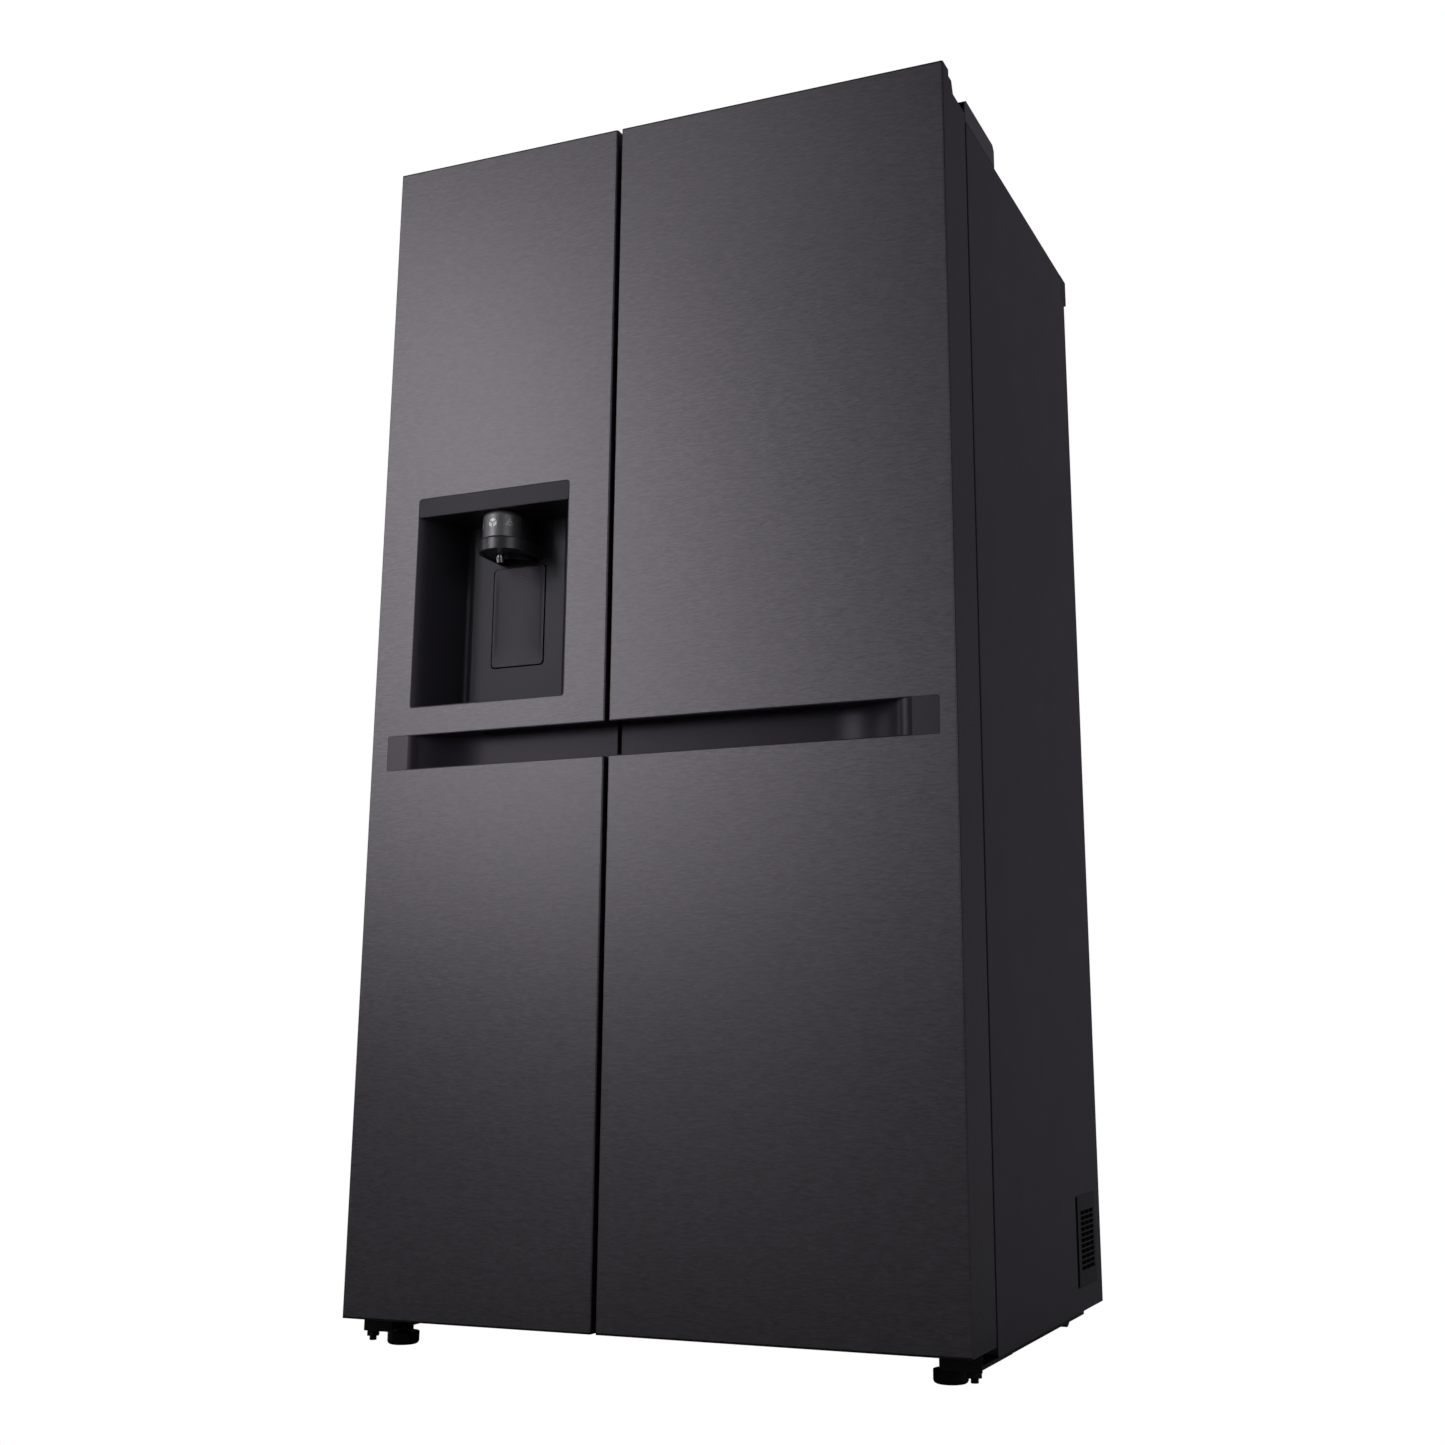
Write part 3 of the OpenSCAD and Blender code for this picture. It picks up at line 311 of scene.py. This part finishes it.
def handle_plastic(name, dull, bright, pad_edge):
    """Moulded grip of dark satin plastic; beyond pad_edge its flush end pads are coated."""
    s = Shader(name, Specular_Tint=VIOLET)
    split = s.node("ShaderNodeSeparateXYZ")
    s.link(s.place, split, "Vector")
    away = s.node("ShaderNodeMath", operation="ABSOLUTE")
    s.link(split.outputs["X"], away, "Value")
    pad = s.spread(away.outputs[0], pad_edge - 0.0005, pad_edge + 0.0005)
    cloud = s.spread(s.noise(6.0), 0.3, 0.7)
    plain = s.blend(cloud, tone(dull, 0.94), tone(dull, 1.06))
    s.set("Base Color", s.blend(pad, plain, bright))
    s.set("Metallic", s.spread(pad, 0, 1, 0.0, 0.9))
    s.set("Roughness", s.spread(pad, 0, 1, 0.32, 0.42))
    s.set("Normal", s.bump(s.noise(2200.0, detail=2.0), 0.06, 0.0002))
    return s.material


def clear_plastic(name, base, roughness=0.08):
    """Clear moulded polystyrene with faint flow marks."""
    s = Shader(name, IOR=1.5, Transmission_Weight=0.92)
    flow = s.noise(5.0, detail=3.0, stretch=(1, 1, 3))
    s.set("Base Color", s.blend(s.spread(flow, 0.3, 0.7), tone(base, 0.97), tone(base, 1.02)))
    s.set("Roughness", s.spread(s.noise(40.0), 0.3, 0.7, roughness - 0.04, roughness + 0.05))
    s.set("Normal", s.bump(flow, 0.05, 0.001))
    return s.material


def shelf_glass(name):
    """Toughened glass with a green cast."""
    s = Shader(name, IOR=1.52, Transmission_Weight=1.0)
    smear = s.noise(7.0, detail=4.0)
    s.set("Base Color", s.blend(s.spread(smear, 0.3, 0.7), (0.80, 0.92, 0.89), (0.86, 0.95, 0.92)))
    s.set("Roughness", s.spread(smear, 0.35, 0.75, 0.015, 0.06))
    return s.material


def rubber(name, base):
    """Soft PVC of the seals: matt, slightly dusty."""
    s = Shader(name, Metallic=0.0)
    dust = s.noise(120.0, detail=4.0)
    s.set("Base Color", s.blend(s.spread(dust, 0.4, 0.75), base, tone(base, 1.7)))
    s.set("Roughness", s.spread(dust, 0.3, 0.7, 0.55, 0.75))
    s.set("Normal", s.bump(s.noise(1500.0), 0.15, 0.0002))
    return s.material


def polyurethane(name, base):
    """Cut foam with open cells; painted shade darkens the colour in each cell's hollow."""
    s = Shader(name, Metallic=0.0, Roughness=0.9)
    cells = s.node("ShaderNodeTexVoronoi", Scale=700.0)
    s.link(s.place, cells, "Vector")
    pore_depth_and_shade = s.spread(cells.outputs["Distance"], 0.1, 0.6)
    # Painted shade: the colour darkens towards each cell's centre, where the bump dips.
    s.set("Base Color", s.blend(pore_depth_and_shade, tone(base, 0.75), base))
    s.set("Normal", s.bump(pore_depth_and_shade, 0.4, 0.0004))
    return s.material


def lamp_lens(name):
    """Frosted lamp cover with a soft glow."""
    s = Shader(name, Roughness=0.35, Emission_Color=(1.0, 0.97, 0.9, 1), Emission_Strength=5.0)
    ribs = s.node("ShaderNodeTexWave", Scale=60.0)
    s.link(s.place, ribs, "Vector")
    s.set("Base Color", s.blend(ribs.outputs["Fac"], (0.85, 0.85, 0.82), (0.95, 0.95, 0.92)))
    s.set("Normal", s.bump(ribs.outputs["Fac"], 0.2, 0.0005))
    return s.material


MATERIALS = {
    "door_metal": brushed_steel("door_metal", (0.262, 0.246, 0.269)),
    "cabinet_metal": painted_sheet("cabinet_metal", (0.033, 0.029, 0.037)),
    "back_sheet": bare_metal("back_sheet", (0.36, 0.36, 0.37), 0.45, (300, 300, 40), 0.5),
    "black_steel": painted_sheet("black_steel", (0.008, 0.008, 0.009), 0.4),
    "zinc_steel": bare_metal("zinc_steel", (0.55, 0.55, 0.56), 0.3),
    "compressor_black": painted_sheet("compressor_black", (0.008, 0.008, 0.008), 0.22),
    "coil_metal": painted_sheet("coil_metal", (0.02, 0.02, 0.021), 0.35),
    "aluminium_fins": bare_metal("aluminium_fins", (0.75, 0.76, 0.77), 0.3),
    "chrome_metal": bare_metal("chrome_metal", (0.82, 0.82, 0.83), 0.12),
    "foam": polyurethane("foam", (0.72, 0.56, 0.24)),
    "white_liner": moulded_plastic("white_liner", (0.80, 0.82, 0.83), 0.35, 0.03),
    "white_plastic": moulded_plastic("white_plastic", (0.76, 0.78, 0.79), 0.36),
    "lamp_lens": lamp_lens("lamp_lens"),
    "seal_rubber": rubber("seal_rubber", (0.030, 0.030, 0.032)),
    "black_plastic": moulded_plastic("black_plastic", (0.009, 0.009, 0.010), 0.42),
    "dark_plastic": moulded_plastic("dark_plastic", (0.016, 0.015, 0.018), 0.42),
    "hinge_plastic": moulded_plastic("hinge_plastic", (0.070, 0.064, 0.077), 0.45, sheen=COOL),
    "handle_plastic": handle_plastic("handle_plastic", (0.040, 0.035, 0.047),
                                     (0.145, 0.134, 0.150), 0.394),
    "dispenser_plastic": moulded_plastic("dispenser_plastic", (0.036, 0.0325, 0.042), 0.34,
                                         sheen=COOL),
    "bezel_plastic": moulded_plastic("bezel_plastic", (0.032, 0.029, 0.036), 0.34,
                                     sheen=DULL_VIOLET),
    "paddle_plastic": moulded_plastic("paddle_plastic", (0.084, 0.077, 0.088), 0.36, sheen=VIOLET),
    "dial_plastic": moulded_plastic("dial_plastic", (0.42, 0.41, 0.43), 0.45, metal=0.8),
    "roller_plastic": moulded_plastic("roller_plastic", (0.02, 0.02, 0.021), 0.5),
    "clear_plastic": clear_plastic("clear_plastic", (0.93, 0.97, 0.98)),
    "shelf_glass": shelf_glass("shelf_glass"),
}
SIGN_PRINT = moulded_plastic("sign_print", (0.96, 0.95, 0.96), 0.5, metal=1.0)
HEAD_PLASTIC = moulded_plastic("head_plastic", (0.20, 0.193, 0.207), 0.36, metal=0.8)


# ------------------------------------------------------------------ the CAD nodes' finish

SLOTS = {part["node"]: part["material_slot"] for part in frame["record"]["subparts"]}
LOOKS = {"dispenser_ring": HEAD_PLASTIC}    # nodes whose look isn't their slot's usual one
EDGES = {                                   # edge radii in millimetres where 0.4 isn't right
    "freezer_door_skin": 0.25, "fridge_door_skin": 0.25,
    "hinge_cover_left": 1.2, "hinge_cover_right": 1.2,
    "dispenser_bezel": 0.5, "selector_dial": 0.8, "dispenser_ring": 0.8,
    "front_foot_left": 0.8, "front_foot_right": 0.8, "rear_rail": 1.0,
    "compressor": 1.0, "control_box": 1.5, "ice_maker": 1.5, "lamps": 1.5,
}


def smooth_faces(mesh):
    for face in mesh.polygons:
        face.use_smooth = True


def round_edges(piece, width, segments):
    """Rounds the sharp edges by width millimetres and keeps the flat faces flat."""
    bevel = piece.modifiers.new("bevel", "BEVEL")
    bevel.width = width * MM
    bevel.segments = segments
    bevel.limit_method = "ANGLE"
    bevel.angle_limit = math.radians(30)
    even = piece.modifiers.new("even", "WEIGHTED_NORMAL")
    even.weight = 80
    even.keep_sharp = False


def finish_node(name, width, segments):
    """Gives a CAD node its material, welds its split vertices and rounds its edges."""
    node = nodes[name]
    node.data.materials.clear()
    node.data.materials.append(LOOKS.get(name, MATERIALS[SLOTS[name]]))
    smooth_faces(node.data)
    weld = node.modifiers.new("weld", "WELD")
    weld.merge_threshold = 0.001 * MM
    flat = node.modifiers.new("flat", "DECIMATE")
    flat.decimate_type = "DISSOLVE"
    flat.angle_limit = math.radians(0.5)
    round_edges(node, width, segments)


for name in nodes:
    finish_node(name, EDGES.get(name, 0.4), 3 if name in EDGES else 2)


# ------------------------------------------------------------------ building blocks


def outline(u, v, r, steps=6):
    """A rounded rectangle as [u, v] points, from its low and high limits."""
    corners = ((u[1] - r, v[0] + r, -90), (u[1] - r, v[1] - r, 0),
               (u[0] + r, v[1] - r, 90), (u[0] + r, v[0] + r, 180))
    points = []
    for centre_u, centre_v, start in corners:
        for i in range(steps + 1):
            a = math.radians(start + 90 * i / steps)
            points.append((centre_u + r * math.cos(a), centre_v + r * math.sin(a)))
    return points


# How a flat point (u, v) and a level w become X, Y and Z when the level runs along an axis.
PLACE = {
    "x": lambda u, v, w: (w, u, v),
    "y": lambda u, v, w: (u, w, v),
    "z": lambda u, v, w: (u, v, w),
}


class Form:
    """One mesh made of lofts between loops of points."""

    def __init__(self):
        self.points = []
        self.faces = []

    def loft(self, loops, ring=False, first_cap=True):
        """Skins loops of equal length; a ring joins the last loop to the first."""
        start = len(self.points)
        count = len(loops[0])
        for loop in loops:
            self.points += loop
        for i in range(len(loops) if ring else len(loops) - 1):
            here = start + i * count
            there = start + (i + 1) % len(loops) * count
            for j in range(count):
                k = (j + 1) % count
                self.faces.append((here + j, here + k, there + k, there + j))
        if first_cap and not ring:
            self.faces.append(tuple(start + j for j in reversed(range(count))))
        if not ring:
            last = start + (len(loops) - 1) * count
            self.faces.append(tuple(last + j for j in range(count)))

    def nest(self, axis, u, v, stations, **options):
        """Lofts rounded rectangles: each station is (inset, level, corner radius)."""
        place = PLACE[axis]
        loops = []
        for inset, level, radius in stations:
            rim = outline((u[0] + inset, u[1] - inset), (v[0] + inset, v[1] - inset), radius)
            loops.append([place(a, b, level) for a, b in rim])
        self.loft(loops, **options)

    def block(self, x, y, z, r=1 * MM):
        """A box whose edges along Z are rounded."""
        self.nest("z", x, y, [(0, z[0], r), (0, z[1], r)])

    def turned(self, axis, centre, profile, segments=40):
        """Turns a profile of (radius, level) points about an axis through centre."""
        place = PLACE[axis]
        loops = []
        for radius, level in profile:
            ring = [math.tau * i / segments for i in range(segments)]
            loops.append([place(centre[0] + radius * math.cos(a), centre[1] + radius * math.sin(a), level)
                          for a in ring])
        self.loft(loops)

    def piece(self, name, slot, body, replaced=(), edge=0.6, segments=3, look=None):
        """Makes the object, lets it ride on a body and stand for the replaced nodes."""
        mesh = bpy.data.meshes.new(name)
        mesh.from_pydata(self.points, [], self.faces)
        shape = bmesh.new()
        shape.from_mesh(mesh)
        bmesh.ops.remove_doubles(shape, verts=shape.verts, dist=0.001 * MM)
        bmesh.ops.recalc_face_normals(shape, faces=shape.faces)
        shape.to_mesh(mesh)
        shape.free()
        smooth_faces(mesh)
        mesh.materials.append(look or MATERIALS[slot])
        made = bpy.data.objects.new(name, mesh)
        scene.collection.objects.link(made)
        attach(made, body)
        if replaced:
            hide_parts(*replaced)
        if edge:
            round_edges(made, edge, segments)
        return made


def span(node, axis, inset=0.0):
    """A node's low and high limits along an axis, drawn in by inset millimetres."""
    low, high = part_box(node)
    return (low[axis] + inset * MM, high[axis] - inset * MM)


def heights(node):
    """The heights of a node's points, each once."""
    return sorted({round(v.co.z, 5) for v in nodes[node].data.vertices})


def found(z, levels):
    return any(abs(z - level) < 1e-6 for level in levels)


# ------------------------------------------------------------------ dispenser


def make_paddle():
    """Press plate with a shallow upright trough, on its pivot rod."""
    rod_x = span("dispenser_paddle", X)
    plate_x = (rod_x[0] + 4.5 * MM, rod_x[1] - 4.5 * MM)
    low, high = span("dispenser_paddle", Z)
    face = span("dispenser_paddle", Y)[0]
    corner = 6 * MM
    trough = 2.6 * MM
    thick = 4 * MM
    middle = sum(plate_x) / 2
    half = (plate_x[1] - plate_x[0]) / 2
    columns = [math.sin(math.radians(-90 + 180 * i / 36)) * half for i in range(37)]
    rows = 12
    loops = []
    for u in columns:
        over = max(0.0, abs(u) - (half - corner))
        cut = corner - math.sqrt(max(0.0, corner ** 2 - over ** 2))
        bottom = low + cut
        top = high - cut
        share = min(1.0, (half - abs(u)) / (7 * MM))
        hollow = trough * (1 - (u / half) ** 2) * share
        loop = []
        for i in range(rows + 1):
            t = i / rows
            ends = min(1.0, 7 * min(t, 1 - t))
            loop.append((middle + u, face + hollow * ends, bottom + (top - bottom) * t))
        loop += [(middle + u, face + thick, top), (middle + u, face + thick, bottom)]
        loops.append(loop)
    form = Form()
    form.loft(loops)
    axis_y = span("dispenser_paddle", Y)[1] - 2.5 * MM
    axis_z = high - 7 * MM
    form.block((plate_x[0] + 3 * MM, plate_x[1] - 3 * MM), (face + 3.5 * MM, axis_y),
               (axis_z - 3 * MM, axis_z + 3 * MM), 0.5 * MM)
    form.turned("x", (axis_y, axis_z), [(2.5 * MM, rod_x[0]), (2.5 * MM, rod_x[1])], 24)
    form.piece("paddle_plate", "paddle_plastic", "paddle", ["dispenser_paddle"], 0.7)

    mark = Form()
    arc = []
    for i in range(13):
        a = math.radians(-14 + 28 * i / 12)
        centre = Vector((middle - 2 * MM + 50 * MM * math.sin(a), face + 1.6 * MM,
                         high - 64 * MM + 50 * MM * math.cos(a)))
        arc.append([tuple(centre + Vector((0, 0.9 * math.sin(b), 0.5 * math.cos(b))) * MM)
                    for b in [math.tau * j / 8 for j in range(8)]])
    mark.loft(arc)
    mark.piece("paddle_mark", "dial_plastic", "paddle", edge=0)


def drop_shape(scale):
    """Outline of a water drop, point up."""
    round_part = [(scale * math.cos(a), scale * (math.sin(a) - 0.35))
                  for a in [math.radians(150 + 240 * i / 14) for i in range(15)]]
    return [round_part + [(0.0, 1.55 * scale)]]


def cube_shape(scale):
    """An ice cube as three leaning tiles."""
    tiles = []
    for turn in (90, 210, 330):
        a, b = math.radians(turn - 60), math.radians(turn + 60)
        middle = math.radians(turn)
        tile = [(0, 0), (math.cos(a), math.sin(a)), (math.cos(middle), math.sin(middle)),
                (math.cos(b), math.sin(b))]
        push = (0.16 * math.cos(middle), 0.16 * math.sin(middle))
        tiles.append([(scale * (u * 0.86 + push[0]), scale * (v * 0.86 + push[1])) for u, v in tile])
    return tiles


def crushed_shape(scale):
    """A heap of ice chips."""
    chips = []
    for u, v, size, turn in ((-0.75, -0.5, 0.5, 10), (0.15, -0.62, 0.48, 50), (0.9, -0.42, 0.42, 80),
                             (-0.35, 0.32, 0.46, 35), (0.5, 0.4, 0.45, 5), (0.05, 1.1, 0.36, 60)):
        chip = []
        for i in range(5):
            a = math.radians(turn + 72 * i)
            chip.append((scale * (u + size * math.cos(a)), scale * (v + size * math.sin(a))))
        chips.append(chip)
    return chips


def make_dial_icons():
    """Three printed signs, wrapped round the dial: water, cubes and crushed ice."""
    low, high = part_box("selector_dial")
    centre = (low + high) / 2
    radius = (high.x - low.x) / 2 + 0.05 * MM
    height = low.z + 0.5 * (high.z - low.z)
    form = Form()
    for angle, shapes in ((-50, drop_shape(4.6 * MM)), (0, cube_shape(7.4 * MM)),
                          (50, crushed_shape(4.8 * MM))):
        for shape in shapes:
            loops = []
            for depth in (-0.4 * MM, 0.12 * MM):
                loop = []
                for u, v in shape:
                    a = math.radians(angle) + u / radius
                    r = radius + depth
                    loop.append((centre.x + r * math.sin(a), centre.y - r * math.cos(a), height + v))
                loops.append(loop)
            form.loft(loops)
    form.piece("dial_signs", "dial_plastic", "dial", edge=0.05, segments=1, look=SIGN_PRINT)


# ------------------------------------------------------------------ compartments


def make_liner(name):
    """Vacuum-formed lining with rounded corners; returns its low and high X."""
    x = span(name, X, 2)
    z = span(name, Z, 2)
    front, back = span(name, Y)
    back -= 2 * MM
    bend = 9 * MM
    corner = 16 * MM
    stations = [(front, z[0], 0), (STEP_Y - bend, z[0], 0)]
    for i in range(1, 7):
        a = math.radians(15 * i)
        stations.append((STEP_Y - bend + bend * math.sin(a), z[0] + bend * (1 - math.cos(a)), 0))
    for i in range(1, 7):
        a = math.radians(15 * i)
        stations.append((STEP_Y + bend * (1 - math.cos(a)), STEP_Z - bend + bend * math.sin(a), 0))
    for i in range(7):
        a = math.radians(15 * i)
        stations.append((back - bend + bend * math.sin(a), STEP_Z, bend * (1 - math.cos(a))))
    loops = []
    for y, floor, inset in stations:
        rim = outline((x[0] + inset, x[1] - inset), (floor + inset, z[1] - inset), corner)
        loops.append([(u, y, v) for u, v in rim])
    form = Form()
    form.loft(loops, first_cap=False)
    liner = form.piece(name + "_shell", "white_liner", "cabinet", [name], edge=0)
    wall = liner.modifiers.new("wall", "SOLIDIFY")
    wall.thickness = 1.8 * MM
    wall.offset = 1.0
    return x


def make_shelves(name, room_x, ribs_name):
    """Glass plates in moulded frames, on ribs of the liner."""
    x = span(name, X)
    y = span(name, Y)
    sunk = 7 * MM               # the glass lies below the front trim's top
    trim_height = 13 * MM
    levels = heights(name)
    tops = [z for z in levels if found(z - sunk, levels) and found(z - trim_height, levels)]
    glass = Form()
    trim = Form()
    ribs = Form()
    for top in tops:
        plate = top - sunk
        glass.block((x[0] + 6 * MM, x[1] - 6 * MM), (y[0] + 8 * MM, y[1] - 6 * MM),
                    (plate + 0.2 * MM, plate + 3.8 * MM), 4 * MM)
        trim.block(x, (y[0], y[0] + 12 * MM), (top - trim_height, top), 3 * MM)
        trim.block(x, (y[1] - 8 * MM, y[1]), (plate - 1 * MM, plate + 9 * MM), 2 * MM)
        for edge, rib in (((x[0], x[0] + 9 * MM), (room_x[0] - 1 * MM, room_x[0] + 6 * MM)),
                          ((x[1] - 9 * MM, x[1]), (room_x[1] - 6 * MM, room_x[1] + 1 * MM))):
            trim.block(edge, (y[0] + 10 * MM, y[1] - 7 * MM),
                       (plate - 2.4 * MM, plate + 6 * MM), 1 * MM)
            ribs.block(rib, (y[0] + 14 * MM, y[1] + 10 * MM),
                       (plate - 14 * MM, plate - 3 * MM), 2.5 * MM)
            ribs.block(rib, (y[0] + 60 * MM, y[1] + 10 * MM),
                       (plate + 9 * MM, plate + 16 * MM), 2.5 * MM)
    glass.piece(name + "_glass", "shelf_glass", "cabinet", [name], 0.8)
    trim.piece(name + "_trim", "white_plastic", "cabinet", [name], 1.4)
    ribs.piece(ribs_name, "white_liner", "cabinet", edge=2.0)


def window_frame(rim, hole, front, back):
    """A flat ring between two outlines of equal length, from the level front to back."""
    form = Form()
    form.loft([[(u, front, v) for u, v in rim], [(u, back, v) for u, v in rim],
               [(u, back, v) for u, v in hole], [(u, front, v) for u, v in hole]], ring=True)
    return form


def make_drawer(name):
    """Clear tray with a rim, and a front with a finger slot under a moulded bar."""
    x = span(name, X)
    y = span(name, Y)
    z = span(name, Z)
    tray_x = (x[0] + 4 * MM, x[1] - 4 * MM)
    tray_y = (y[0] + 4 * MM, y[1])
    top = z[1] - 12 * MM
    corner = 16 * MM
    tray = Form()
    tray.nest("z", tray_x, tray_y,
              [(7 * MM, z[0], corner), (4 * MM, z[0] + 4 * MM, corner),
               (2.5 * MM, top - 6 * MM, corner), (0, top - 5 * MM, corner),
               (0, top, corner), (4.5 * MM, top, corner - 2 * MM),
               (5.5 * MM, z[0] + 8 * MM, corner - 2 * MM), (9 * MM, z[0] + 3 * MM, corner - 4 * MM)])
    tray.piece(name + "_tray", "clear_plastic", name, [name], 0.8)
    middle = (x[0] + x[1]) / 2
    slot_x = (middle - 70 * MM, middle + 70 * MM)
    slot_z = (z[1] - 38 * MM, z[1] - 20 * MM)
    slot = outline(slot_x, slot_z, 8.5 * MM)
    front = window_frame(outline(x, z, 8 * MM), slot, y[0], y[0] + 5 * MM)
    front.piece(name + "_front", "clear_plastic", name, edge=1.0)
    rim = outline((slot_x[0] - 9 * MM, slot_x[1] + 9 * MM),
                  (slot_z[0] - 9 * MM, slot_z[1] + 9 * MM), 14 * MM)
    bar = window_frame(rim, slot, y[0] - 0.6 * MM, y[0] + 6.5 * MM)
    bar.piece(name + "_grip", "white_plastic", name, edge=1.0)


# ------------------------------------------------------------------ inside of the doors


def make_door_liner(name, body, dyke_x):
    """Door lining: a plate and the raised, rounded frame that holds the bins."""
    plate_x = span(name, X)
    plate_z = span(name, Z)
    back = span(name, Y)[0]
    plate = back + 2 * MM
    dyke_z = (105 * MM, 1682 * MM)
    place = PLACE["y"]
    edge = outline(plate_x, plate_z, 10 * MM)
    loops = [[place(u, v, back) for u, v in edge], [place(u, v, plate) for u, v in edge]]
    # Over the dyke from outside to inside: inset, height above the plate, corner radius.
    for inset, level, radius in ((-3, 0, 14), (-1, 1.2, 13), (0, 3, 12), (1.2, 34, 12), (2.5, 38, 12),
                                 (5, 40, 11), (15, 40, 9), (17.5, 38, 8), (19, 34, 8), (20, 4, 8),
                                 (21, 0.8, 8)):
        rim = outline((dyke_x[0] + inset * MM, dyke_x[1] - inset * MM),
                      (dyke_z[0] + inset * MM, dyke_z[1] - inset * MM), radius * MM)
        loops.append([place(u, v, plate + level * MM) for u, v in rim])
    form = Form()
    form.loft(loops)
    form.piece(name + "_shell", "white_liner", body, [name], 0.5)


def make_bins(name, body, trim_name):
    """Clear door bins with a moulded band along the front."""
    x = span(name, X)
    y = span(name, Y)
    bin_height = 110 * MM
    levels = heights(name)
    bottoms = [z for z in levels if found(z + bin_height, levels)]
    bins = Form()
    bands = Form()
    for z in bottoms:
        top = z + bin_height
        bins.nest("z", x, y,
                  [(4 * MM, z, 12 * MM), (1 * MM, z + 3 * MM, 12 * MM),
                   (0.2 * MM, z + 8 * MM, 12 * MM), (0.2 * MM, top, 12 * MM),
                   (2.6 * MM, top, 10 * MM), (3.2 * MM, z + 8 * MM, 10 * MM),
                   (6 * MM, z + 3 * MM, 8 * MM)])
        bands.nest("z", x, (y[1] - 40 * MM, y[1]),
                   [(-0.2 * MM, top - 16 * MM, 11.5 * MM), (-0.6 * MM, top - 15 * MM, 11.5 * MM),
                    (-0.6 * MM, top + 1 * MM, 11.5 * MM), (3 * MM, top + 1 * MM, 9 * MM),
                    (3 * MM, top - 16 * MM, 9 * MM)], ring=True)
    bins.piece(name + "_clear", "clear_plastic", body, [name], 0.6)
    bands.piece(trim_name, "white_plastic", body, edge=0.5)


def make_seal(name, body):
    """Magnetic seal: a folded bellows that runs round the door."""
    x = span(name, X)
    z = span(name, Z)
    low, high = span(name, Y)
    deep = high - low
    # The folds from the outer foot to the inner one: inset in millimetres, share of the depth.
    folds = [(0, 0), (0.5, 0.2), (2.6, 0.36), (0.6, 0.52), (0.2, 0.7), (0.6, 0.92), (2, 1), (13, 1),
             (14.8, 0.92), (15.4, 0.7), (14.8, 0.52), (12.6, 0.36), (15, 0.2), (15.6, 0)]
    form = Form()
    form.nest("y", x, z, [(u * MM, low + w * deep, max(1.0, 12 - u * 0.5) * MM) for u, w in folds],
              ring=True)
    form.piece(name + "_bellows", "seal_rubber", body, [name], edge=0)


# ------------------------------------------------------------------ back and base


def make_back_ribs():
    """Pressed stiffening ribs and the screws along the back panel's edge."""
    x = span("back_panel", X)
    z = span("back_panel", Z)
    y = span("back_panel", Y)[1]
    ribs = Form()
    for i in range(4):
        u = x[0] + (x[1] - x[0]) * (0.17 + 0.22 * i)
        ribs.nest("y", (u - 14 * MM, u + 14 * MM), (z[0] + 120 * MM, z[1] - 120 * MM),
                  [(0, y - 0.2 * MM, 13 * MM), (2 * MM, y + 2.2 * MM, 11 * MM),
                   (5 * MM, y + 3.2 * MM, 8 * MM)])
    ribs.piece("back_panel_ribs", "back_sheet", "cabinet", edge=1.0)
    screws = Form()
    places = [(u, v) for u in (x[0] + 14 * MM, x[1] - 14 * MM)
              for v in [z[0] + (z[1] - z[0]) * (0.04 + 0.184 * i) for i in range(6)]]
    places += [(x[0] + (x[1] - x[0]) * (0.2 + 0.2 * i), z[0] + 14 * MM) for i in range(4)]
    places += [(x[0] + (x[1] - x[0]) * (0.06 + 0.22 * i), z[0] - 14 * MM) for i in range(5)]
    head = [(4.2 * MM, y - 0.5 * MM), (4.2 * MM, y + 0.8 * MM), (3.4 * MM, y + 1.9 * MM),
            (1.6 * MM, y + 2.2 * MM), (1.4 * MM, y + 0.9 * MM)]
    for place in places:
        screws.turned("y", place, head, 24)
    screws.piece("back_screws", "zinc_steel", "cabinet", edge=0)


def make_inlet_thread():
    """Water inlet: the stub with the crests of its thread, and a bore."""
    low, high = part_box("water_valve")
    axis = (-300 * MM, 150 * MM)
    crest = 13.2 * MM
    start = BACK - 14 * MM
    profile = [(crest, start - 4 * MM)]
    for i in range(6):
        y = start + i * 1.9 * MM
        profile += [(crest - 1.1 * MM, y), (crest - 1.1 * MM, y + 0.5 * MM), (crest, y + 0.9 * MM),
                    (crest, y + 1.3 * MM)]
    end = high.y
    profile += [(crest - 1.4 * MM, end), (7 * MM, end), (6.5 * MM, end - 12 * MM)]
    form = Form()
    form.turned("y", axis, profile)
    form.block((low.x, high.x), (low.y, start - 4 * MM), (low.z, high.z), 2 * MM)
    form.piece("water_valve_body", "chrome_metal", "cabinet", ["water_valve"], 0.3)


make_paddle()
make_dial_icons()
freezer_x = make_liner("freezer_liner")
fridge_x = make_liner("fridge_liner")
make_shelves("freezer_shelves", freezer_x, "freezer_liner_ribs")
make_shelves("fridge_shelves", fridge_x, "fridge_liner_ribs")
for name in ("freezer_drawer_lower", "freezer_drawer_upper", "crisper_lower", "crisper_upper"):
    make_drawer(name)
make_bins("freezer_door_bins", "freezer_door", "freezer_bin_bands")
make_bins("fridge_door_bins", "fridge_door", "fridge_bin_bands")
make_seal("freezer_door_seal", "freezer_door")
make_seal("fridge_door_seal", "fridge_door")
make_back_ribs()
make_inlet_thread()
make_door_liner("fridge_door_liner", "fridge_door", span("fridge_door_bins", X, -20.5))
